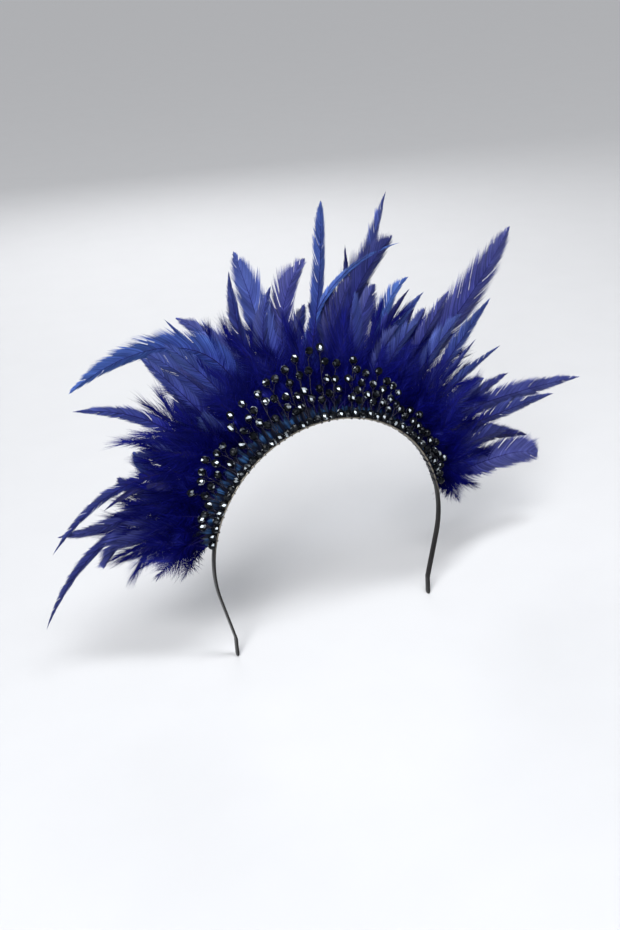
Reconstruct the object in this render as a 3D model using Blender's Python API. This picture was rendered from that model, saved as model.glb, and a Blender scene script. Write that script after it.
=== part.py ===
"""Bridal crown: crystal bead sprays and a fan of dyed cock hackles on a steel hair band.

Metres, +Z up, front towards -Y, +X to the right. The origin is the middle of the band's inner
face at the top of its arch. A place on the crown is given by an angle round the arch (degrees
from the top, positive towards +X), a height above the band's outer face, and a depth along +Y.
Above the band everything leans back, so a height also carries its point towards +Y.
"""
from math import cos, pi, radians, sin
from typing import NamedTuple

import bmesh
import bpy
from mathutils import Matrix, Vector

MM = 0.001

# Steel band: an arch, two straight arms and two tips that turn out.
ARCH_RADIUS = 70.1 * MM
ARCH_HALF_ANGLE = 103.7
ARM_LENGTH = 27.6 * MM
TIP_LENGTH = 11.5 * MM
TIP_TURN = 13.7
BAND_WIDTH = 4.0 * MM
BAND_THICKNESS = 1.0 * MM
ARCH_STEPS = 40

# Lean of the bead sprays, the tape and the feathers, and the forward curl of the long hackles.
LEAN = 18.0
CURL = 10.0 * MM
CURL_HEIGHT = 100.0 * MM

# Beads and wires.
BEAD_DIAMETER = 4.0 * MM
BEAD_LENGTH = 3.8 * MM
BEAD_SIDES = 10
ROW_COUNT = 43
ROW_END_ANGLE = 76.4
ROW_HEIGHT = 2.4 * MM
ROW_DEPTH = -2.2 * MM
ROW_ZIGZAG = 0.3 * MM
STRING_DIAMETER = 0.7 * MM
BASE_WIRE_DIAMETER = 1.0 * MM
BASE_WIRE_HEIGHT = 0.8 * MM
SPRAY_DEPTH = 0.6 * MM
STEM_DIAMETER = 0.9 * MM
TWIG_DIAMETER = 0.7 * MM
TWIG_RISE = 6.5 * MM

# Satin tape.
TAPE_END_ANGLE = 79.0
TAPE_THICKNESS = 1.0 * MM
TAPE_PUFFS = 24
TAPE_PUFF_DEPTH = 0.35 * MM

# Feather fan.
BANK_COLUMNS = 58
LOCK_COUNT = 29
LOCK_HEIGHT = 3.5 * MM
HACKLE_ROOT_HEIGHT = 24.0 * MM
HACKLE_ROOT_DEPTH = 10.0 * MM
HACKLE_THICKNESS = 1.8 * MM


class Spray(NamedTuple):
    """One wired stem: its foot's angle, and each bead as (degrees from the foot, height in mm)."""
    foot: float
    beads: tuple


# The first bead of a row is the one that the stem itself runs to.
LEFT_SPRAYS = (
    Spray(-63, ((-2, 8), (2, 8))),
    Spray(-58, ((-1, 19), (0, 12), (4, 11))),
    Spray(-52, ((1, 19), (-2, 17))),
    Spray(-45, ((-2, 21), (-1, 15.5), (2, 8.5))),
    Spray(-41, ((-2, 18), (1.2, 18), (2, 11.5))),
    Spray(-34, ((3, 26.5), (0.5, 21.5), (-1, 10.5))),
    Spray(-29, ((2, 19), (-2, 15.5))),
    Spray(-25, ((-1, 27), (1, 20.5))),
    Spray(-21, ((1, 26.5), (2, 21), (-2, 10), (2, 10.5))),
    Spray(-14.5, ((-1.5, 29.5), (1.5, 29), (-1.5, 20), (1.5, 12.5))),
    Spray(-10, ((1, 31.5), (1, 24), (-2, 18))),
    Spray(-6, ((1, 35), (1, 26), (-2, 16), (-2, 9.5))),
    Spray(-3, ((3, 37), (1.4, 27), (-2, 17.5), (0, 12.5))),
)
RIGHT_SPRAYS = (
    Spray(2, ((1.5, 38), (2.5, 30), (2.5, 21))),
    Spray(6, ((2.5, 28.5), (1.5, 20), (-1.5, 13))),
    Spray(14, ((0.5, 30), (2, 25), (2.5, 14), (0, 10))),
    Spray(19, ((0.5, 23.5), (-1, 18), (2, 12))),
    Spray(23, ((1.5, 26), (0, 18.5), (2, 13.5))),
    Spray(27, ((1.5, 22), (0.5, 17), (2, 10))),
    Spray(31, ((0.5, 20.5), (1, 13.5), (1, 7.5))),
    Spray(35, ((-0.5, 18), (0, 12), (3, 10.5))),
    Spray(41, ((1.5, 13), (0, 8.5))),
    Spray(47, ((0.5, 14.5), (-1, 9))),
    Spray(54, ((1.5, 10), (-1.5, 8.5))),
    Spray(60, ((2, 11.5), (-1, 9))),
    Spray(65, ((2.2, 9), (-1, 7.5))),
    Spray(70, ((0.5, 11.5), (2, 7.5))),
)


class BankRow(NamedTuple):
    """A level of the downy bank: its share of the full height, its two faces and its spread."""
    share: float
    front: float
    back: float
    spread: float


# Depths in mm. The spread widens the bank beyond the tape's ends as the down fans out.
BANK_ROWS = (
    BankRow(0.00, 4.6, 6.6, 0.90),
    BankRow(0.30, 4.2, 11.5, 0.99),
    BankRow(0.62, 4.0, 14.0, 1.00),
    BankRow(0.86, 5.5, 12.5, 0.98),
    BankRow(1.00, 8.0, 9.6, 0.96),
)
BANK_END_ANGLE = 90.0


class DownEdge(NamedTuple):
    """Height of the bank's downy upper edge in mm at an angle round the arch."""
    angle: float
    height: float


DOWN_EDGES = (
    DownEdge(-90, 38),
    DownEdge(-78, 46),
    DownEdge(-60, 50),
    DownEdge(-45, 58),
    DownEdge(-15, 58),
    DownEdge(5, 60),
    DownEdge(30, 58),
    DownEdge(40, 55),
    DownEdge(55, 55),
    DownEdge(75, 57),
    DownEdge(90, 42),
)


class Hackle(NamedTuple):
    """A pointed feather: angles of root and tip, height of the tip and greatest width in mm."""
    root: float
    tip: float
    height: float
    width: float
    bow: float


# The bow says how late the blade turns to its tip: 1 is straight, 3 turns near the end.
HACKLES = (
    Hackle(-72, -98, 93, 7, 1.5),
    Hackle(-77, -86, 56, 11, 1.3),
    Hackle(-66, -81, 83, 7, 1.5),
    Hackle(-75, -76, 80, 9, 1.0),
    Hackle(-66, -71, 60, 10, 1.5),
    Hackle(-55, -60, 58, 12, 1.4),
    Hackle(-42, -52, 92, 7, 1.6),
    Hackle(-24, -48.5, 100, 10, 2.2),
    Hackle(-32, -36, 70, 12, 1.3),
    Hackle(-25, -29, 83, 9, 1.5),
    Hackle(-19, -21, 68, 12, 1.2),
    Hackle(-16, -13.3, 89, 9, 1.0),
    Hackle(-9, -10.8, 98, 13, 1.2),
    Hackle(-11, -6, 73, 9, 1.4),
    Hackle(-9, 2.7, 84, 9, 1.4),
    Hackle(5.5, 6.2, 115, 7, 1.0),
    Hackle(12, 12.4, 91, 6, 1.0),
    Hackle(15, 18.6, 122, 7, 1.6),
    Hackle(13, 22.5, 100, 13, 1.8),
    Hackle(21, 28.2, 81, 8, 1.8),
    Hackle(28, 33.4, 77, 8, 1.8),
    Hackle(36, 37, 70, 12, 1.2),
    Hackle(43, 44, 138, 16, 1.2),
    Hackle(48, 49.8, 100, 8, 1.3),
    Hackle(51, 53.4, 76, 9, 1.3),
    Hackle(57, 59.4, 87, 8, 1.3),
    Hackle(63, 67.3, 80, 11, 1.3),
    Hackle(67, 77.6, 135, 11, 1.6),
    Hackle(73, 79.5, 112, 8, 1.4),
    Hackle(77, 84, 86, 9, 1.4),
    Hackle(82, 90, 98, 11, 1.5),
)


class BladeStation(NamedTuple):
    """A section of a hackle: its share of the length, and of the full width and thickness."""
    share: float
    width: float
    thickness: float


BLADE_STATIONS = (
    BladeStation(0.00, 0.70, 1.00),
    BladeStation(0.30, 1.00, 1.00),
    BladeStation(0.55, 0.85, 0.85),
    BladeStation(0.75, 0.58, 0.70),
    BladeStation(0.90, 0.30, 0.60),
    BladeStation(1.00, 0.08, 0.50),
)


def circle(centre: Vector, axis: Vector, radius: float, sides: int) -> list:
    """Points of a regular ring about an axis that lies in the XZ plane."""
    up = Vector((0, 1, 0))
    side = axis.cross(up)
    turns = [2 * pi * i / sides for i in range(sides)]
    return [centre + (side * cos(turn) + up * sin(turn)) * radius for turn in turns]


def place(angle: float, height: float, depth: float, lean: float = LEAN) -> Vector:
    """Point at an angle round the arch, a leaning height above the band and a depth."""
    radius = ARCH_RADIUS + BAND_THICKNESS + height * cos(radians(lean))
    turn = radians(angle)
    back = depth + height * sin(radians(lean))
    return Vector((radius * sin(turn), back, radius * cos(turn) - ARCH_RADIUS))


def interpolate(rows, angle: float) -> float:
    """Height between the two table rows on either side of an angle."""
    angle = min(max(angle, rows[0].angle), rows[-1].angle)
    for low, high in zip(rows, rows[1:]):
        if angle <= high.angle:
            share = (angle - low.angle) / (high.angle - low.angle)
            return low.height + share * (high.height - low.height)
    return rows[-1].height


def new_material(name: str, colour: tuple, roughness: float, metallic: float):
    """Principled material with one plain colour."""
    material = bpy.data.materials.new(name)
    material.use_nodes = True
    shader = material.node_tree.nodes["Principled BSDF"]
    shader.inputs["Base Color"].default_value = (*colour, 1.0)
    shader.inputs["Roughness"].default_value = roughness
    shader.inputs["Metallic"].default_value = metallic
    return material


def new_object(name: str, mesh, collection, material=None):
    """Object for a mesh, linked into a collection and given its material."""
    item = bpy.data.objects.new(name, mesh)
    collection.objects.link(item)
    if material is not None:
        mesh.materials.append(material)
    return item


def hide_guide(item):
    """Mark an object that only takes part in a union."""
    item.hide_render = True
    item.display_type = "WIRE"


def mesh_from_bmesh(name: str, bm) -> bpy.types.Mesh:
    """Finish a bmesh as a mesh with its faces pointing out."""
    bmesh.ops.recalc_face_normals(bm, faces=bm.faces)
    mesh = bpy.data.meshes.new(name)
    bm.to_mesh(mesh)
    bm.free()
    return mesh


def skin_rings(name: str, rings: list) -> bpy.types.Mesh:
    """Closed mesh lofted through rings of one even point count, capped across at each end."""
    bm = bmesh.new()
    levels = [[bm.verts.new(point) for point in ring] for ring in rings]
    count = len(rings[0])
    for lower, upper in zip(levels, levels[1:]):
        for i in range(count):
            j = (i + 1) % count
            bm.faces.new((lower[i], lower[j], upper[j], upper[i]))
    for end in (levels[0], levels[-1]):
        for k in range(count // 2 - 1):
            bm.faces.new((end[k], end[k + 1], end[count - 2 - k], end[count - 1 - k]))
    return mesh_from_bmesh(name, bm)


def wire_mesh(name: str, routes: list, diameter: float, sides_level: int = 1) -> bpy.types.Mesh:
    """Mesh of round wires with closed ends, one along each route of points."""
    curve = bpy.data.curves.new(name, "CURVE")
    curve.dimensions = "3D"
    curve.bevel_depth = diameter / 2
    curve.bevel_resolution = sides_level
    curve.use_fill_caps = True
    for route in routes:
        spline = curve.splines.new("POLY")
        spline.points.add(len(route) - 1)
        for point, place_along in zip(spline.points, route):
            point.co = (*place_along, 1.0)
    holder = bpy.data.objects.new(name + "_curve", curve)
    bpy.context.scene.collection.objects.link(holder)
    evaluated = holder.evaluated_get(bpy.context.evaluated_depsgraph_get())
    raw = bpy.data.meshes.new_from_object(evaluated)
    bm = bmesh.new()
    bm.from_mesh(raw)
    bmesh.ops.remove_doubles(bm, verts=bm.verts, dist=0.001 * MM)
    bpy.data.meshes.remove(raw)
    bpy.data.objects.remove(holder)
    return mesh_from_bmesh(name, bm)


def bead_mesh(name: str, seats: list) -> bpy.types.Mesh:
    """Mesh of beads, each with its hole's line along the direction given with its centre."""
    bm = bmesh.new()
    ring_share = sin(pi / 3)
    radius = BEAD_DIAMETER / 2 / ring_share
    stretch = Matrix.Diagonal((1, 1, BEAD_LENGTH / 2 / radius, 1))
    for centre, direction in seats:
        turn = direction.to_track_quat("Z", "Y").to_matrix().to_4x4()
        bmesh.ops.create_uvsphere(bm, u_segments=BEAD_SIDES, v_segments=3, radius=radius,
                                  matrix=Matrix.Translation(centre) @ turn @ stretch)
    return mesh_from_bmesh(name, bm)


def fuse(target, guides: list):
    """Join guide solids to a target with Boolean unions.

    The exact solver drops bodies where these many fine wires and blades meet, so the union is
    the manifold one, which keeps them all.
    """
    for number, guide in enumerate(guides):
        hide_guide(guide)
        union = target.modifiers.new(f"join_{number}", "BOOLEAN")
        union.operation = "UNION"
        union.solver = "MANIFOLD"
        union.object = guide


def along_arch(start: float, end: float, step: float, height: float, depth: float) -> list:
    """Points along the arch at one height and depth, about a step of degrees apart."""
    count = max(1, round((end - start) / step))
    return [place(start + (end - start) * i / count, height, depth) for i in range(count + 1)]


def tangent(angle: float) -> Vector:
    """Direction along the arch at an angle."""
    return Vector((cos(radians(angle)), 0, -sin(radians(angle))))


def band_stations() -> list:
    """Right half of the band's inner face from the top down: point, outward normal, half width."""
    stations = []
    half = BAND_WIDTH / 2
    for i in range(ARCH_STEPS // 2 + 1):
        angle = radians(ARCH_HALF_ANGLE * i / (ARCH_STEPS // 2))
        point = Vector((ARCH_RADIUS * sin(angle), 0, ARCH_RADIUS * (cos(angle) - 1)))
        stations.append((point, Vector((sin(angle), 0, cos(angle))), half))
    turn = radians(ARCH_HALF_ANGLE)
    heel = stations[-1][0] + Vector((cos(turn), 0, -sin(turn))) * ARM_LENGTH
    bisector = turn - radians(TIP_TURN) / 2
    stations.append((heel, Vector((sin(bisector), 0, cos(bisector))), half))
    turn -= radians(TIP_TURN)
    forward = Vector((cos(turn), 0, -sin(turn)))
    outward = Vector((sin(turn), 0, cos(turn)))
    for degrees in (90, 62, 38, 16):
        rounding = radians(degrees)
        point = heel + forward * (TIP_LENGTH - half * (1 - cos(rounding)))
        stations.append((point, outward, half * sin(rounding)))
    rounded = stations[-4:]
    rounded.sort(key=lambda station: (station[0] - heel).length)
    return stations[:-4] + rounded


def make_headband(collection, material):
    """Flat steel strip bent to the arch, with rounded tips that turn out."""
    right = band_stations()
    left = [(Vector((-p.x, p.y, p.z)), Vector((-n.x, n.y, n.z)), h) for p, n, h in right[:0:-1]]
    rings = []
    for point, outward, half in left + right:
        front = Vector((0, -half, 0))
        top = outward * BAND_THICKNESS
        rings.append((point + front, point - front, point - front + top, point + front + top))
    return new_object("headband", skin_rings("headband", rings), collection, material)


def make_bead_row(collection, material):
    """Row of crystal beads strung along the band's front edge, lofted bead by bead."""
    rings = []
    pitch = radians(2 * ROW_END_ANGLE / (ROW_COUNT - 1)) * (ARCH_RADIUS + ROW_HEIGHT)
    for i in range(ROW_COUNT):
        angle = ROW_END_ANGLE * (2 * i / (ROW_COUNT - 1) - 1)
        height = ROW_HEIGHT + ROW_ZIGZAG * (1 if i % 2 else -1)
        centre = place(angle, height, ROW_DEPTH, lean=0)
        along = tangent(angle)
        sections = [(-BEAD_LENGTH / 4, BEAD_DIAMETER / 2), (BEAD_LENGTH / 4, BEAD_DIAMETER / 2)]
        sections.append((pitch / 2 if i < ROW_COUNT - 1 else BEAD_LENGTH / 2, STRING_DIAMETER / 2))
        if i == 0:
            sections.insert(0, (-BEAD_LENGTH / 2, STRING_DIAMETER / 2))
        for shift, radius in sections:
            rings.append(circle(centre + along * shift, along, radius, BEAD_SIDES))
    return new_object("bead_row", skin_rings("bead_row", rings), collection, material)


def spray_routes(spray: Spray) -> list:
    """Routes of a spray's wires: the stem to its first bead, then a twig to each other one."""
    top_swing, top_height = spray.beads[0]
    stem = [place(spray.foot + top_swing * share * share, BASE_WIRE_HEIGHT
                  + (top_height * MM - BASE_WIRE_HEIGHT) * share, SPRAY_DEPTH)
            for share in (0, 0.5, 1)]
    routes = [stem]
    for swing, height in spray.beads[1:]:
        fork_height = max(height * MM - TWIG_RISE, 1.5 * BASE_WIRE_HEIGHT)
        share = (fork_height - BASE_WIRE_HEIGHT) / (top_height * MM - BASE_WIRE_HEIGHT)
        share = max(0.0, min(share, 0.95))
        fork = place(spray.foot + top_swing * share * share, fork_height, SPRAY_DEPTH)
        routes.append([fork, place(spray.foot + swing, height * MM, SPRAY_DEPTH)])
    return routes


def make_bead_sprays(name: str, sprays, ends: tuple, collection, guides, material):
    """Wired bead sprays that share one base wire along the band."""
    base = along_arch(*ends, 4.0, BASE_WIRE_HEIGHT, SPRAY_DEPTH)
    item = new_object(name, wire_mesh(name, [base], BASE_WIRE_DIAMETER), collection, material)
    routes = [spray_routes(spray) for spray in sprays]
    stems = wire_mesh(name + "_stems", [wires[0] for wires in routes], STEM_DIAMETER)
    joined = [new_object(name + "_stems", stems, guides)]
    for order in range(1, max(len(wires) for wires in routes)):
        twigs = [wires[order] for wires in routes if len(wires) > order]
        label = f"{name}_twigs_{order}"
        joined.append(new_object(label, wire_mesh(label, twigs, TWIG_DIAMETER), guides))
    seats = [(place(spray.foot + swing, height * MM, SPRAY_DEPTH), tangent(spray.foot + swing))
             for spray in sprays for swing, height in spray.beads]
    joined.append(new_object(name + "_beads", bead_mesh(name + "_beads", seats), guides))
    fuse(item, joined)
    return item


def make_satin_tape(collection, material):
    """Puffed satin tape that heads the feathers, standing behind the sprays."""
    profile = ((-0.6, 2.85), (4.5, 3.5), (10.4, 3.5))
    sections = 2 * TAPE_PUFFS
    half = TAPE_THICKNESS / 2
    rings = []
    for i in range(sections + 1):
        angle = TAPE_END_ANGLE * (2 * i / sections - 1)
        puff = TAPE_PUFF_DEPTH if i % 2 else 0.0
        front = [place(angle, height * MM, depth * MM - half) for height, depth in profile]
        back = [place(angle, height * MM, depth * MM + half + puff * (n == 1))
                for n, (height, depth) in enumerate(profile)]
        rings.append(front + back[::-1])
    return new_object("satin_tape", skin_rings("satin_tape", rings), collection, material)


def bank_point(angle: float, row: BankRow, front: bool) -> Vector:
    """Point on the downy bank's front or back face at an angle and a level."""
    lock = abs(sin(pi * LOCK_COUNT * (angle + BANK_END_ANGLE) / (2 * BANK_END_ANGLE)))
    height = interpolate(DOWN_EDGES, angle) * MM * row.share
    height += LOCK_HEIGHT * (lock - 0.5) * row.share
    depth = row.front if front else row.back
    return place(angle * row.spread, height, depth * MM)


def make_down_bank(name: str) -> bpy.types.Mesh:
    """Bank of overlapping downy feather bases: a thick leaning wall with a lobed upper edge."""
    rings = []
    for i in range(BANK_COLUMNS + 1):
        angle = BANK_END_ANGLE * (2 * i / BANK_COLUMNS - 1)
        front = [bank_point(angle, row, True) for row in BANK_ROWS]
        back = [bank_point(angle, row, False) for row in BANK_ROWS]
        rings.append(front + back[::-1])
    return skin_rings(name, rings)


def hackle_point(hackle: Hackle, share: float) -> Vector:
    """Point on a hackle's quill at a share of its length from root to tip."""
    angle = hackle.root + (hackle.tip - hackle.root) * share ** hackle.bow
    height = HACKLE_ROOT_HEIGHT + (hackle.height * MM - HACKLE_ROOT_HEIGHT) * share
    return place(angle, height, HACKLE_ROOT_DEPTH - CURL * (height / CURL_HEIGHT) ** 2)


def make_hackle(name: str, hackle: Hackle) -> bpy.types.Mesh:
    """Pointed blade with a flat diamond section that follows its bent quill."""
    rings = []
    for station in BLADE_STATIONS:
        centre = hackle_point(hackle, station.share)
        ahead = hackle_point(hackle, min(station.share + 0.05, 1.0))
        behind = hackle_point(hackle, max(station.share - 0.05, 0.0))
        forward = (ahead - behind).normalized()
        side = forward.cross(Vector((0, 1, 0))).normalized()
        across = side * (hackle.width * MM * station.width / 2)
        through = side.cross(forward) * (HACKLE_THICKNESS * station.thickness / 2)
        rings.append((centre - across, centre - through, centre + across, centre + through))
    return skin_rings(name, rings)


def make_feather_fan(collection, guides, material):
    """Feather fan: the downy bank with the pointed hackles joined into it."""
    fan = new_object("feather_fan", make_down_bank("feather_fan"), collection, material)
    blades = []
    for number, hackle in enumerate(HACKLES):
        label = f"hackle_{number + 1:02d}"
        blades.append(new_object(label, make_hackle(label, hackle), guides))
    fuse(fan, blades)
    return fan


def main():
    """Clear the scene and build every piece of the crown."""
    for old in list(bpy.data.objects):
        bpy.data.objects.remove(old)
    crown = bpy.data.collections.new("bridal_crown")
    guides = bpy.data.collections.new("joined_shapes")
    bpy.context.scene.collection.children.link(crown)
    bpy.context.scene.collection.children.link(guides)

    steel = new_material("gunmetal_steel", (0.10, 0.095, 0.09), 0.35, 0.9)
    crystal = new_material("hematite_crystal", (0.03, 0.035, 0.05), 0.12, 0.8)
    satin = new_material("blue_satin", (0.03, 0.10, 0.30), 0.35, 0.0)
    plume = new_material("royal_blue_feather", (0.008, 0.015, 0.22), 0.55, 0.0)

    make_headband(crown, steel)
    make_bead_row(crown, crystal)
    seam = 0.2
    row_end = ROW_END_ANGLE
    make_bead_sprays("bead_sprays_left", LEFT_SPRAYS, (-row_end, -seam), crown, guides, crystal)
    make_bead_sprays("bead_sprays_right", RIGHT_SPRAYS, (seam, row_end), crown, guides, crystal)
    make_satin_tape(crown, satin)
    make_feather_fan(crown, guides, plume)


main()
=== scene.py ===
"""Dress the bridal crown: dyed hackles, puffed satin, twisted wire and cut crystal on a steel band.

Metres throughout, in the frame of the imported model: +Z up, the front towards -Y. A place on the
crown is an angle round the band's arch (degrees from the top, positive towards +X), a leaning
height above the band's outer face and a depth towards the back.
"""
import logging
from dataclasses import dataclass
from enum import Enum
from math import cos, pi, radians, sin
from typing import NamedTuple, Union

import bpy
import numpy as np
from mathutils import Matrix, Vector


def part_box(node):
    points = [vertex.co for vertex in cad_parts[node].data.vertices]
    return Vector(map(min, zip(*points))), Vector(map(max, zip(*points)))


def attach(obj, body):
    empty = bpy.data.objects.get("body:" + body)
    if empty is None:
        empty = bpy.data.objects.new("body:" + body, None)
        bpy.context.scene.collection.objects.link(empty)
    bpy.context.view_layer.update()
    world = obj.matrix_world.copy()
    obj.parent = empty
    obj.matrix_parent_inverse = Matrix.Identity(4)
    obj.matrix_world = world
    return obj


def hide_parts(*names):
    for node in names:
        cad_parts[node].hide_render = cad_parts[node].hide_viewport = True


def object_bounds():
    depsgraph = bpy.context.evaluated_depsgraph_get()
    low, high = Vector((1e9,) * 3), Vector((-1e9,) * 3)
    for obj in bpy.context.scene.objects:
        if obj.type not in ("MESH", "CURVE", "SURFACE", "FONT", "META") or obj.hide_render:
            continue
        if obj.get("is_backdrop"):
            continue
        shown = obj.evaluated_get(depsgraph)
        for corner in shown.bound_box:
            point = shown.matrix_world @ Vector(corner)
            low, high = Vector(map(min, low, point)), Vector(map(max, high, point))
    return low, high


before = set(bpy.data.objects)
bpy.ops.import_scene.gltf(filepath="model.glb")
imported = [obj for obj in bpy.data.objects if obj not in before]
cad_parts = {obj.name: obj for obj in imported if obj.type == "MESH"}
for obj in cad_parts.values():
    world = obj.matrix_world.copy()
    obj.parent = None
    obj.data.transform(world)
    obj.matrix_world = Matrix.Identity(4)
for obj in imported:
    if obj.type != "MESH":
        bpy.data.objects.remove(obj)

MM = 0.001
BODY = "root"
LOG = logging.getLogger("bridal_crown")
Socket = bpy.types.NodeSocket
Values = Union[float, np.ndarray]
Paint = Union[Socket, tuple]


@dataclass(frozen=True)
class Arch:
    """The band's arch, from which every place on the crown is set out.

    Attributes:
        outer: radius of the band's outer face.
        thickness: thickness of the band.
        half_width: half the band's width.
        lean: backward lean of everything above the band, in degrees.
    """

    outer: float
    thickness: float
    half_width: float
    lean: float = 18.0

    @classmethod
    def from_frame(cls) -> "Arch":
        """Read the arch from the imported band."""
        low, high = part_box("headband")
        return cls(outer=high.x, thickness=high.z, half_width=high.y)

    @property
    def centre_z(self) -> float:
        """Height of the arch's centre."""
        return self.thickness - self.outer

    def at(self, angle: Values, height: Values, depth: Values,
           lean: Union[float, None] = None) -> np.ndarray:
        """Points on the crown.

        Args:
            angle: degrees from the top, one value or an array.
            height: leaning height above the band's outer face.
            depth: distance towards the back before the lean is added.
            lean: lean in degrees, or None for the crown's own.

        Returns:
            An array of points whose last axis is x, y, z.
        """
        tilt = radians(self.lean if lean is None else lean)
        turn = np.radians(angle)
        radius = self.outer + np.asarray(height) * cos(tilt)
        across = radius * np.sin(turn)
        back = depth + height * sin(tilt) + 0 * turn
        up = radius * np.cos(turn) + self.centre_z
        return np.stack(np.broadcast_arrays(across, back, up), axis=-1)

    def along(self, angle: float) -> np.ndarray:
        """Unit direction along the arch at an angle."""
        return np.array((cos(radians(angle)), 0.0, -sin(radians(angle))))


def unit(vectors: np.ndarray) -> np.ndarray:
    """Scale vectors on the last axis to length one."""
    return vectors / np.maximum(np.linalg.norm(vectors, axis=-1, keepdims=True), 1e-12)


def ease(value: Values, low: float, high: float) -> Values:
    """Smooth step from 0 at the low value to 1 at the high one."""
    share = np.clip((value - low) / (high - low), 0, 1)
    return share * share * (3 - 2 * share)


def distances(path: np.ndarray) -> np.ndarray:
    """Distance of each point of a path from its start, along the path."""
    return np.concatenate([[0], np.cumsum(np.linalg.norm(np.diff(path, axis=0), axis=1))])


class Soup:
    """Vertices, faces and per-vertex values gathered from many small shapes into one mesh."""

    def __init__(self, *value_names: str) -> None:
        """Start empty.

        Args:
            value_names: names of the per-vertex values that each shape brings.
        """
        self.names = value_names
        self.points: list = []
        self.quads: list = []
        self.tris: list = []
        self.values: list = []
        self.count = 0

    def add(self, points: np.ndarray, quads: Union[np.ndarray, None] = None,
            tris: Union[np.ndarray, None] = None, finish: int = 0, **values: Values) -> None:
        """Add one batch of shapes.

        Args:
            points: array of points, any leading axes.
            quads: rows of four indices into the points.
            tris: rows of three indices into the points.
            finish: number of the batch's material.
            values: one number or an array for each value name.
        """
        flat = np.asarray(points, float).reshape(-1, 3)
        for kept, corners, faces in ((self.quads, 4, quads), (self.tris, 3, tris)):
            if faces is not None:
                rows = np.asarray(faces, np.int64).reshape(-1, corners) + self.count
                kept.append(np.column_stack([rows, np.full(len(rows), finish)]))
        rows = np.zeros((len(self.names), len(flat)))
        for row, name in zip(rows, self.names):
            row[:] = values.get(name, 0.0)
        self.points.append(flat)
        self.values.append(rows)
        self.count += len(flat)

    def to_object(self, name: str, materials: list, smooth: bool) -> bpy.types.Object:
        """Make the mesh object.

        Args:
            name: the piece's name.
            materials: its materials.
            smooth: True for smooth shading.

        Returns:
            The new object, linked into the scene.
        """
        points = np.concatenate(self.points)
        quads = np.concatenate(self.quads or [np.zeros((0, 5), np.int64)])
        tris = np.concatenate(self.tris or [np.zeros((0, 4), np.int64)])
        mesh = bpy.data.meshes.new(name)
        mesh.vertices.add(len(points))
        mesh.vertices.foreach_set("co", points.astype(np.float32).ravel())
        corners = np.concatenate([quads[:, :4].ravel(), tris[:, :3].ravel()]).astype(np.int32)
        sizes = np.concatenate([np.full(len(quads), 4), np.full(len(tris), 3)])
        starts = np.concatenate([[0], np.cumsum(sizes)[:-1]]).astype(np.int32)
        mesh.loops.add(len(corners))
        mesh.loops.foreach_set("vertex_index", corners)
        mesh.polygons.add(len(sizes))
        mesh.polygons.foreach_set("loop_start", starts)
        mesh.polygons.foreach_set("use_smooth", np.full(len(sizes), smooth))
        mesh.polygons.foreach_set("material_index", np.concatenate([quads[:, 4], tris[:, 3]]))
        mesh.update(calc_edges=True)
        for value_name, values in zip(self.names, np.concatenate(self.values, axis=1)):
            layer = mesh.attributes.new(value_name, "FLOAT", "POINT")
            layer.data.foreach_set("value", values.astype(np.float32))
        for material in materials:
            mesh.materials.append(material)
        mesh.validate()
        piece = bpy.data.objects.new(name, mesh)
        bpy.context.scene.collection.objects.link(piece)
        return piece


def tube_faces(rings: int, sides: int) -> np.ndarray:
    """Quads of a tube whose points are numbered ring by ring.

    Args:
        rings: number of rings.
        sides: points in each ring.

    Returns:
        Rows of four indices.
    """
    ring = np.arange(rings - 1)[:, None] * sides
    side = np.arange(sides)[None, :]
    beside = (side + 1) % sides
    return np.stack([ring + side, ring + beside, ring + sides + beside, ring + sides + side],
                    axis=-1).reshape(-1, 4)


def end_faces(rings: int, sides: int) -> np.ndarray:
    """Triangles that close both ends of such a tube.

    Args:
        rings: number of rings.
        sides: points in each ring.

    Returns:
        Rows of three indices.
    """
    last = (rings - 1) * sides
    first_end = [[0, i + 1, i] for i in range(1, sides - 1)]
    last_end = [[last, last + i, last + i + 1] for i in range(1, sides - 1)]
    return np.array(first_end + last_end)


def path_axes(path: np.ndarray) -> tuple:
    """Side and normal at each point of a path, carried along without twist.

    Args:
        path: points of the path.

    Returns:
        Two arrays of unit vectors.
    """
    ahead = unit(np.gradient(path, axis=0))
    steep = 0.9
    guide = np.array((0.0, 1.0, 0.0)) if abs(ahead[0][1]) < steep else np.array((1.0, 0.0, 0.0))
    sides = np.empty_like(ahead)
    for i, direction in enumerate(ahead):
        guide = guide - direction * guide.dot(direction)
        guide = guide / np.linalg.norm(guide)
        sides[i] = guide
    return sides, np.cross(ahead, sides)


def add_tube(soup: Soup, path: np.ndarray, radius: Values, sides: int, **values: Values) -> None:
    """Add a round wire along a path, with closed ends.

    Args:
        soup: where the wire goes.
        path: points of its centre line.
        radius: one radius, or one for each point.
        sides: points round the wire.
        values: per-vertex values.
    """
    side, normal = path_axes(path)
    turns = 2 * pi * np.arange(sides) / sides
    radius = np.broadcast_to(np.asarray(radius, float), len(path))[:, None, None]
    ring = side[:, None] * np.cos(turns)[:, None] + normal[:, None] * np.sin(turns)[:, None]
    points = path[:, None] + ring * radius
    soup.add(points, tube_faces(len(path), sides), end_faces(len(path), sides), **values)


def resample(path: np.ndarray, step: float) -> np.ndarray:
    """Points along a path about a step apart.

    Args:
        path: points of the path.
        step: the distance wanted between two points.

    Returns:
        The new points, from the path's start to its end.
    """
    lengths = distances(path)
    count = max(3, int(round(lengths[-1] / step)) + 1)
    places = np.linspace(0, lengths[-1], count)
    return np.stack([np.interp(places, lengths, path[:, k]) for k in range(3)], axis=-1)


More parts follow.
